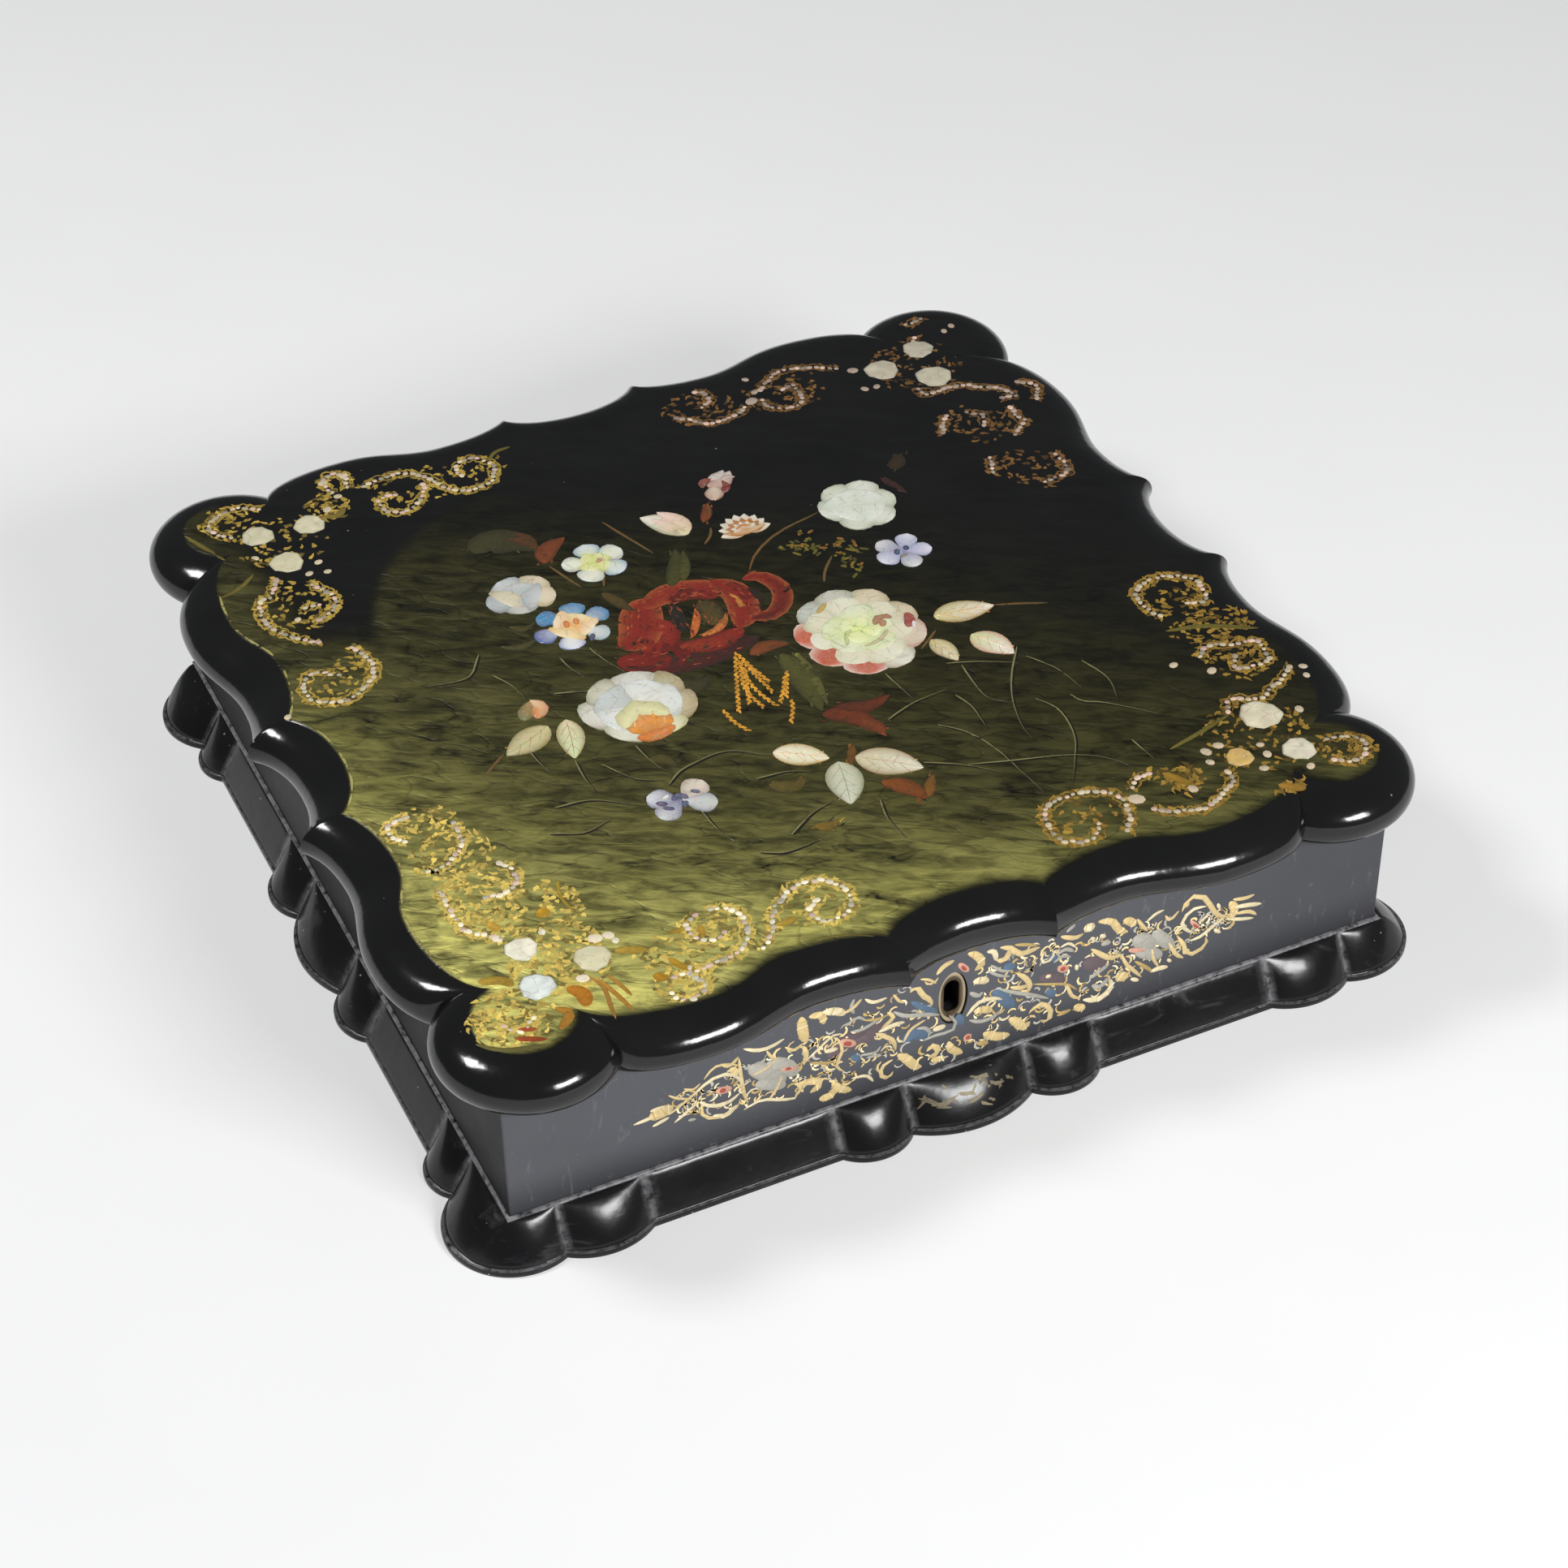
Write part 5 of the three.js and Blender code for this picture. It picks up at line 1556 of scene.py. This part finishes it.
# Larger gilt strokes at the corners: points, half width, colour
AMBER, DULL = (214, 140, 40), (128, 116, 52)
STROKES = {
    "front_left": (
        (((-119.5, -129.5), (-116.5, -134), (-117.5, -139.5)), 2.4, AMBER),
        (((-126, -136), (-123, -140), (-128, -145)), 1.6, (196, 140, 50)),
        (((-112, -128), (-110, -134), (-111, -141), (-112, -148)), 0.7, (190, 140, 60)),
        (((-110, -130), (-108, -138), (-106, -147)), 0.8, (206, 150, 60)),
        (((-107, -130), (-105, -136), (-104, -141)), 0.7, (200, 150, 60)),
        (((-114, -94), (-113, -98)), 2.2, (222, 170, 50)),
        (((-130, -93), (-128, -98)), 1.5, (226, 180, 70)),
        (((-101, -121), (-96, -123), (-92, -125)), 1.6, (206, 168, 66)),
        (((-152, -140), (-146, -145.5), (-134, -149)), 0.9, (120, 112, 58)),
        (((-141, -143), (-137, -145), (-133, -147)), 1.0, (176, 80, 36)),
        (((-139, -140), (-134, -142)), 0.9, (196, 96, 50)),
        (((-54, -132), (-50, -132), (-47, -131)), 1.2, (206, 170, 66)),
        (((-95, -136), (-92, -139)), 1.6, (206, 150, 40)),
        (((-88, -131), (-86, -136), (-83, -139)), 1.3, (206, 160, 46)),
        (((-46, -143), (-38, -144.5), (-30, -149)), 0.45, DULL),
        (((-104, -84), (-106, -92), (-105, -100)), 0.6, (190, 160, 56)),
        (((-142, -116), (-136, -118), (-133, -122)), 1.8, (196, 160, 60)),
        (((-76, -118), (-79, -121), (-84, -121)), 1.0, (200, 164, 60)),
        (((-74, -122), (-75, -127)), 1.1, (206, 164, 60)),
    ),
    "back_left": (
        (((-150, 138), (-146, 128), (-142, 118)), 0.9, DULL),
        (((-136, 106), (-142, 101), (-150, 98)), 0.8, DULL),
        (((-40, 134), (-36, 138), (-30, 139)), 0.8, DULL),
        (((-104, 128), (-99, 126), (-95, 130)), 1.4, (150, 130, 60)),
    ),
    "front_right": (
        (((92, -112), (104, -109), (118, -105)), 0.8, DULL),
        (((113, -142), (117, -145), (120, -147)), 1.6, (186, 140, 56)),
        (((122, -58), (134, -61), (150, -70)), 1.1, DULL),
        (((84, -121), (87, -126), (90, -131)), 1.6, (176, 136, 50)),
    ),
}

# Gilt on the front: points (along the wall, height), half width, colour key
TONES = {
    "g": (232, 206, 148), "c": (244, 228, 186), "d": (196, 168, 106), "s": (182, 178, 166),
    "b": (92, 116, 140), "m": (108, 92, 96), "p": (222, 168, 144), "r": (180, 82, 68),
}
FRONT_STROKES = (
    ((-109.5, 36.3), (-104, 36.8), (-97, 38), 1.0, "c"),
    ((-104.5, 37), (-101, 37.5), (-96.5, 38), 3.2, "g"), ((-104, 39.5), (-99, 39.5), 1.0, "c"),
    ((-103.5, 33), (-98, 34.5), 0.9, "c"), ((-98, 35.5), (-92, 39), (-87, 42.5), 0.7, "g"),
    ((-96.5, 31.5), (-91, 35), (-88.5, 37), 0.8, "c"), ((-98, 43.5), (-95, 41), (-90, 38.5), 0.6, "g"),
    ((-93, 44), (-90, 42.5), (-87.5, 44), 0.6, "g"), ((-92, 30.5), (-89.5, 30), 0.6, "s"),
    ((-91, 39.5), (-86, 43), (-81, 44.5), (-76.5, 42.5), (-74, 38), 0.9, "c"),
    ((-88, 36), (-84, 33), (-79, 32.3), (-75, 34.5), 1.0, "c"),
    ((-86.5, 45), (-83, 48.5), (-79, 48), (-75, 46), 0.7, "g"),
    ((-81, 49), (-78, 47), (-75, 49.5), 0.9, "g"),
    ((-75, 49), (-74.4, 40), (-73.5, 33), (-72.3, 29), 0.9, "g"), ((-78, 46), (-75, 42.5), 1.6, "g"),
    ((-87.5, 36), (-87, 30), (-82, 27.5), (-77, 28.5), (-75, 31), 0.9, "g"),
    ((-84, 29), (-80, 27.3), (-76, 30), 1.3, "c"), ((-83, 38.5), (-77.5, 37.5), 2.0, "p"),
    ((-81.5, 38.3), (-79.5, 37.7), 1.2, "r"), ((-86, 38), (-83, 38.5), 0.7, "d"),
    ((-77, 38), (-75.5, 40), 0.8, "d"), ((-72, 44), (-66, 39), (-60, 33), 3.4, "s"),
    ((-66, 43), (-61, 40), (-56, 34), 3.0, "s"), ((-70, 36), (-65, 34), (-60, 31), 2.6, "s"),
    ((-61.5, 38.5), (-56, 36.5), 1.4, "p"), ((-60, 38), (-58, 37.4), 0.8, "r"),
    ((-71, 40), (-66, 41), (-62, 44), 0.7, "g"),
    ((-74, 27), (-68, 28.5), (-62, 26), (-57, 24.5), (-56, 26.5), 0.8, "c"),
    ((-66, 27), (-63, 31), (-61, 36), 0.7, "g"),
    ((-73.5, 52), (-69, 49.5), (-65, 49), (-60, 50.5), 1.0, "c"),
    ((-66, 48), (-64.5, 45), (-63, 43), 0.7, "g"), ((-60, 47), (-57, 44.5), (-54, 46), 0.8, "g"),
    ((-54.5, 57), (-54, 51), (-53, 46), 2.4, "g"), ((-54, 45), (-53, 41), (-54, 37), 1.2, "g"),
    ((-57, 31), (-55, 28), (-57, 25), 0.9, "g"), ((-52, 56), (-48, 55), (-47, 51), 1.8, "g"),
    ((-47.5, 56), (-43, 54.5), (-40, 52), 2.0, "c"), ((-41, 52.5), (-37.5, 53.5), (-34.5, 56), 0.9, "g"),
    ((-37, 57), (-38, 54), (-37, 51), 0.7, "s"), ((-33.5, 55.5), (-30.5, 53), (-26, 53), 0.9, "c"),
    ((-24, 53.5), (-22, 50), (-20, 48.5), 0.7, "g"), ((-46, 37), (-39, 40), (-33, 42), 3.6, "m"),
    ((-38, 39), (-32, 40), (-27, 43), 3.0, "m"), ((-41.8, 41.8), (-36.5, 38), 2.0, "p"),
    ((-40.5, 40.6), (-38, 38.9), 1.2, "r"), ((-47, 39.5), (-42.5, 39), 1.2, "c"),
    ((-53, 38.5), (-49, 41.5), (-44, 45), (-40.5, 44), 0.7, "c"),
    ((-52, 37), (-46, 34.5), (-43, 34), 0.8, "d"),
    ((-43, 44), (-41, 38), (-43, 32), (-40.5, 28.5), 0.8, "g"),
    ((-38, 44), (-34, 43.5), (-28, 45.5), 0.7, "s"), ((-38, 34), (-35, 31), 1.6, "b"),
    ((-40, 47), (-36, 49), (-33, 46.5), 0.6, "s"), ((-34, 47), (-29, 45.5), (-25, 46), 0.7, "d"),
    ((-35, 33), (-30, 32), (-28, 34), 0.6, "s"), ((-33, 31), (-28, 30.5), 0.5, "s"),
    ((-30, 40), (-27, 37.5), (-24, 34.5), (-23, 30), 1.1, "g"),
    ((-29, 40), (-24, 40.8), (-20, 40.5), 1.2, "c"), ((-26, 47), (-24, 44), (-28, 41), 1.1, "g"),
    ((-24, 46.5), (-20, 43), (-14, 41), (-8, 38.5), 0.9, "s"),
    ((-20.5, 32), (-17, 34.5), (-12, 31), 2.6, "b"), ((-18, 48), (-14, 44), (-9, 40), 1.3, "b"),
    ((-10.5, 33.2), (-6, 33), 1.5, "c"), ((-20.5, 32), (-18, 36.5), (-13, 38.5), 0.8, "g"),
    ((-14, 30), (-9, 30.5), (-4, 30), (-2.5, 33), (-5, 37), 0.7, "s"),
    ((-16, 36), (-13, 35), (-11, 32), 0.7, "s"), ((-56, 30), (-51, 29), (-48, 27), (-52, 24.5), 1.9, "g"),
    ((-49, 20.5), (-45, 20.5), (-44, 23), 2.1, "g"), ((-44.5, 26), (-42, 22), (-38, 19.5), 1.9, "g"),
    ((-38, 24.5), (-33, 23.5), (-30.5, 20), 0.8, "c"),
    ((-24, 26.5), (-27.5, 25), (-28, 21.5), (-25.5, 19.5), (-23.8, 21.5), 1.0, "g"),
    ((-22.5, 28), (-19.5, 25), (-16, 20), (-14, 19.5), 2.2, "g"),
    ((-12.5, 25), (-10, 26.5), (-8.5, 23), (-12, 22), 1.5, "g"), ((-11, 20.5), (-6, 19.5), 1.7, "g"),
    ((-5, 26), (-4, 22.5), (0, 19), 1.9, "g"), ((0.3, 25.5), (3, 24.5), 1.9, "p"),
    ((1, 25.3), (2.4, 24.7), 1.1, "r"), ((-9.5, 55.5), (-7, 58), (-3.5, 59), 1.3, "g"),
    ((-2, 57), (1.5, 52.5), 1.5, "p"), ((-1, 55.8), (0.6, 53.4), 0.8, "r"),
    ((-18.5, 52), (-16, 53), (-14, 49), (-11.5, 46), (-10.8, 43.5), 1.3, "g"),
    ((-15, 56), (-12, 54.5), (-9.5, 52), 0.7, "g"), ((1, 60), (4, 58), (6, 54), (3.5, 52), 1.9, "g"),
    ((7.5, 58), (10, 57), (11, 53), 1.3, "c"), ((11, 53), (14, 52.5), (16, 56.5), 1.5, "g"),
    ((12, 58), (16, 56), (19, 52.5), (26, 52.5), 1.5, "g"), ((17, 57), (21, 55.5), (25, 53.5), 0.9, "d"),
    ((3, 47.5), (6, 47), (8.5, 45.5), 1.9, "c"), ((9, 52), (13, 48), (17, 46.5), 0.6, "s"),
    ((8, 50), (12, 46.5), (16, 44.5), 0.6, "s"), ((13.5, 49.5), (17.5, 48), 1.7, "b"),
    ((2, 43.5), (5, 41), (6.5, 42), 0.9, "s"), ((1, 34), (5, 38), (10, 37.8), (13.5, 36), 1.1, "c"),
    ((3.5, 35), (7, 34.5), (10, 32.5), 1.9, "g"), ((2, 32), (6, 29.8), (11, 30), (13, 32), 0.8, "s"),
    ((10, 41), (14, 36), (17.5, 31), 2.3, "b"), ((-2, 36), (-0.5, 31), 1.6, "b"),
    ((12, 41), (17, 37.5), (23, 34), (30, 29.5), 0.8, "s"),
    ((18, 45), (21, 42), (23, 38), (22, 35), 1.3, "g"), ((16, 40), (19, 38.5), (23, 38), 1.1, "g"),
    ((26, 40), (30, 38), (35, 35), 2.2, "m"), ((32.5, 41.5), (36.3, 39), 2.0, "p"),
    ((33.5, 40.8), (35.2, 39.7), 1.2, "r"), ((28.4, 39.4), (30.2, 38.8), 1.0, "c"),
    ((39, 40), (39.5, 37.5), 0.9, "c"),
    ((27.5, 50.5), (26.6, 47), (28.5, 45), (31, 47.5), (30, 50), 0.7, "c"),
    ((29, 47.5), (32.5, 45), 1.5, "b"), ((29, 33.5), (32, 30), 1.6, "b"),
    ((31, 44), (34, 45.5), (37, 44), 0.7, "s"), ((32, 47), (35, 48), (38, 46), 0.8, "s"),
    ((33, 49.5), (36, 50), (38.5, 47.5), 0.7, "c"), ((24, 38), (30, 35.5), (36, 33), (40, 29), 0.7, "d"),
    ((33, 54), (38, 51.5), (41, 52), 1.2, "g"), ((41, 54), (45, 53.5), 2.3, "c"),
    ((46, 55), (51, 53), (54, 48), (57, 46.5), 1.8, "g"), ((35, 55), (38, 57), 0.7, "s"),
    ((44, 44.5), (47, 41.5), (51, 38), (56, 37.5), 1.3, "g"),
    ((41.5, 40), (46, 38), (50.5, 38.5), 3.2, "m"), ((44, 49.5), (45, 47), 0.7, "c"),
    ((47, 49), (49, 47.5), 1.0, "c"), ((47.5, 45), (51, 44.5), 1.0, "s"),
    ((36, 33), (38, 27.5), (41, 25), 0.9, "g"), ((16, 27), (19, 24), (21, 21), (23.5, 22.5), 2.3, "g"),
    ((23, 26.5), (27, 28.5), (30.5, 25), (30, 20), (27, 21.5), 1.3, "g"),
    ((7, 24.5), (12, 21), (16.5, 19.8), 2.3, "g"), ((5, 21), (9, 19.5), 1.4, "d"),
    ((33, 21), (38, 21.5), 1.0, "d"), ((39, 22.5), (43, 19.8), 2.0, "g"),
    ((42, 24), (48, 22), (52, 25), (51.5, 29), 1.6, "c"), ((44, 32), (48, 34), (51, 35.5), 0.9, "s"),
    ((45, 29), (48, 27), (51, 30), 1.0, "s"), ((55, 52), (57.5, 50.5), (59.5, 48), 2.0, "g"),
    ((60, 50.5), (62, 47), (64, 44), 0.9, "g"), ((59, 43), (63, 40), (67, 36), 3.2, "s"),
    ((66, 43), (70, 38), (74, 33), 2.4, "s"), ((60, 37), (64, 35), (70, 31), 2.6, "s"),
    ((57.5, 38.6), (63.5, 36), 1.4, "p"), ((55, 38), (57, 33), (60, 29), (63, 25), 0.9, "g"),
    ((60, 33), (65, 28), (67, 25.5), 0.9, "d"), ((66, 36), (67, 31), (69, 27), 0.8, "g"),
    ((72, 36), (75, 30), (78, 27), 1.0, "g"), ((66, 26), (69, 26.3), (72.5, 25.5), 1.3, "c"),
    ((72, 29), (73.5, 27.3), 0.8, "c"), ((63.5, 48), (66.5, 50), (69.5, 50.5), 0.8, "c"),
    ((70, 48), (72, 45.5), (75, 48), 0.8, "g"), ((53.5, 29.5), (58, 27), 2.5, "g"),
    ((59, 26), (62, 24), 1.0, "c"),
    ((76, 47), (78, 51.5), (82, 51.5), (85.5, 48), (87, 44), (90, 40), (94, 38), 1.3, "g"),
    ((76.5, 50), (78.5, 49), 1.5, "g"),
    ((85, 46), (80, 46.5), (76.5, 43), (78, 39), (81, 36.5), 1.0, "c"),
    ((79.5, 42), (83, 37.5), 1.1, "p"), ((80.5, 40.5), (82.5, 38), 0.6, "r"),
    ((86, 42), (82.5, 40), 0.8, "c"),
    ((75, 37.5), (78, 32), (79, 28), (83, 27.8), (86, 30), (85.5, 33), 1.2, "g"),
    ((77.5, 30), (80, 29), 1.5, "g"), ((80, 33.5), (84, 34), (88, 36.5), (92, 38.5), 1.0, "c"),
    ((89, 45.5), (90, 43), 0.8, "c"), ((88.5, 35), (91, 32.5), 0.9, "c"),
    ((93.5, 44.5), (95.5, 40.5), (94, 36.5), 2.1, "g"), ((94.5, 45), (99, 43.8), (102.5, 44), 1.0, "g"),
    ((95, 41.5), (100, 40.5), (105.5, 39), 1.2, "c"), ((96, 38.5), (101, 37.5), (104, 35), 1.0, "g"),
    ((93, 37.5), (98, 35.5), (103, 34), 0.9, "c"),
)


def make_front_gilt(gilt):
    bm = new_bmesh()
    for order, (*points, half, key) in enumerate(FRONT_STROKES):
        tone = TONES[key]
        shades = blend(tone, scaled(tone, 0.82), scaled(tone, 0.82))
        lift = {"m": 0.05, "b": 0.06, "s": 0.09, "r": 0.22}.get(key, 0.13) + 0.0003 * order
        slim = 0.95 if key in "msb" else 0.74
        blade(bm, points, stroke(slim * half), lift, shades, on_front, columns=6, rows=9, dome=0.5)
        # Hatching across the wider strokes
        if half > 1.5 and key in "gcd":
            for spot, ahead in sampled(points, [0.2, 0.4, 0.6, 0.8]):
                side = Vector((-ahead.y, ahead.x)) * half * 0.8 + ahead * jitter(1)
                shade = varied(dice.choice((TONES["d"], TONES["c"], tone)), 0.2)
                ends = spot - side, spot + side
                blade(bm, ends, stroke(0.32), lift + 0.05, solid(shade), on_front, rows=3)
    # Small hooks that fill the panel between the larger strokes
    for _ in range(FRONT_HOOKS):
        along = dice.uniform(-96, 94)
        half_height = 19 * (1 - (abs(along + 2) / 104) ** 1.5)
        height = 37.5 + jitter(half_height)
        if abs(along - KEYHOLE[0]) < 7 and abs(height - KEYHOLE[1]) < 12:
            continue
        turn, size = dice.uniform(0, math.tau), dice.uniform(1.0, 2.4)
        centre = Vector((along, height))
        angles = [turn + a for a in (0, 0.9, 1.8, 2.7)]
        hook = [centre + size * Vector((math.cos(a), math.sin(a))) for a in angles]
        colour = varied(TONES[dice.choice("gggccddss")], 0.2)
        shape = stroke(dice.uniform(0.26, 0.5))
        blade(bm, hook, shape, 0.1, solid(colour), on_front, columns=3, rows=6)
    finish_piece(bm, "front_gilt", gilt)

    # Faded gilt on the middle lobe of the plinth
    bm = new_bmesh()
    for _ in range(PLINTH_STROKES):
        along, rise = jitter(15), dice.uniform(0.25, 0.8)
        start = Vector((along, rise))
        stop = start + Vector((jitter(5), jitter(0.25)))
        colour = varied((92, 82, 58), 0.25)
        blade(bm, (start, stop), tapered(0.05), 0.05, solid(colour), on_plinth_front, columns=3, rows=5)
    finish_piece(bm, "plinth_gilt", gilt)


def on_plinth_front(flat, up):
    """Place on the middle lobe: along the front, and share of the way up its slope."""
    edge, wall, bulge = lobe_at(flat.x)
    spot = wall.lerp(edge, slope_share(flat.y, bulge))
    return (spot.x, spot.y - up, SLOPE_FOOT + (WALL_BOTTOM - SLOPE_FOOT) * flat.y + up)


def make_edge_gilt(gilt):
    """Worn gilt line along the left edge of the flat top."""
    outline = lid_outline(LID_FLAT_EDGE)
    bm = new_bmesh()
    left = outline[3 * SIDE_STEPS + 30:4 * SIDE_STEPS - 20]
    run = 9
    for start in range(0, len(left) - run, run):
        if dice.random() < 0.9:
            points = [p + Vector((1.3 + jitter(0.1), 0)) for p in left[start:start + run + 1:2]]
            blade(bm, points, stroke(0.42), 0.1, plain(176, 168, 100), rows=8)
    finish_piece(bm, "edge_gilt", gilt)


make_lid()
make_plinth()
make_walls()
make_keyhole_plate()
PEARL, PAINT = pearl_finish(), paint_finish()
GILT, WORN_GILT = gilt_finish("scroll_gilt", 0.0), gilt_finish("worn_gilt", 0.10)
make_blossoms(PEARL)
make_buds(PEARL)
make_leaves(PEARL)
make_roundels(PEARL)
make_painting(PAINT)
make_scrolls(PEARL, GILT)
make_front_gilt(gilt_finish("front_gilt_paint", -0.04))
make_edge_gilt(WORN_GILT)


# Camera, floor and light
YAW, PITCH, ROLL = (math.radians(a) for a in (24.619, 39.444, -1.130))
CAMERA_PLACE = Vector((-364.405, -817.485, 751.669))
SENSOR_WIDTH = 36
FOCAL_LENGTH = 78.44
FARTHEST_SEEN = 20
FLOOR_HALF = 4


def add_camera():
    ahead = Vector((math.sin(YAW) * math.cos(PITCH), math.cos(YAW) * math.cos(PITCH), -math.sin(PITCH)))
    level = Vector((math.cos(YAW), -math.sin(YAW), 0))
    upward = level.cross(ahead)
    side = math.cos(ROLL) * level + math.sin(ROLL) * upward
    above = math.cos(ROLL) * upward - math.sin(ROLL) * level
    lens = bpy.data.cameras.new("photo_camera")
    lens.sensor_width = SENSOR_WIDTH
    lens.lens = FOCAL_LENGTH
    lens.clip_end = FARTHEST_SEEN
    made = bpy.data.objects.new("photo_camera", lens)
    turn = Matrix((side, above, -ahead)).transposed().to_4x4()
    made.matrix_world = Matrix.Translation(CAMERA_PLACE * METRES) @ turn
    bpy.context.scene.collection.objects.link(made)
    bpy.context.scene.camera = made
    bpy.context.scene.view_settings.view_transform = "Standard"


def add_floor():
    bm = bmesh.new()
    bmesh.ops.create_grid(bm, x_segments=1, y_segments=1, size=FLOOR_HALF)
    mesh = bpy.data.meshes.new("floor")
    bm.to_mesh(mesh)
    bm.free()
    pale = Finish("pale_floor", Roughness=0.8, Specular_IOR_Level=0.0, Emission_Strength=0.40)
    pale.set(Base_Color=pale.mix(pale.noise(60, 2), lin(183, 183, 184), lin(187, 187, 188)))
    pale.set(Emission_Color=(1, 1, 1, 1))
    mesh.materials.append(pale.material)
    floor = bpy.data.objects.new("floor", mesh)
    bpy.context.scene.collection.objects.link(floor)


def soft_light(name, place, size, power, aim=(0, 0, 60)):
    lamp = bpy.data.lights.new(name, "AREA")
    lamp.shape = "RECTANGLE"
    lamp.size, lamp.size_y = (s * METRES for s in size)
    lamp.energy = power
    made = bpy.data.objects.new(name, lamp)
    place, aim = Vector(place) * METRES, Vector(aim) * METRES
    turn = (aim - place).to_track_quat("-Z", "Y").to_matrix().to_4x4()
    made.matrix_world = Matrix.Translation(place) @ turn
    bpy.context.scene.collection.objects.link(made)


def add_light():
    world = bpy.data.worlds.new("studio")
    world.use_nodes = True
    world.node_tree.nodes["Background"].inputs["Color"].default_value = (0.92, 0.96, 1.0, 1)
    world.node_tree.nodes["Background"].inputs["Strength"].default_value = 0.12
    bpy.context.scene.world = world
    soft_light("front_softbox", (370, -1360, 820), (620, 330), 25)
    soft_light("left_softbox", (-800, 370, 1300), (360, 360), 13)


add_camera()
add_floor()
add_light()
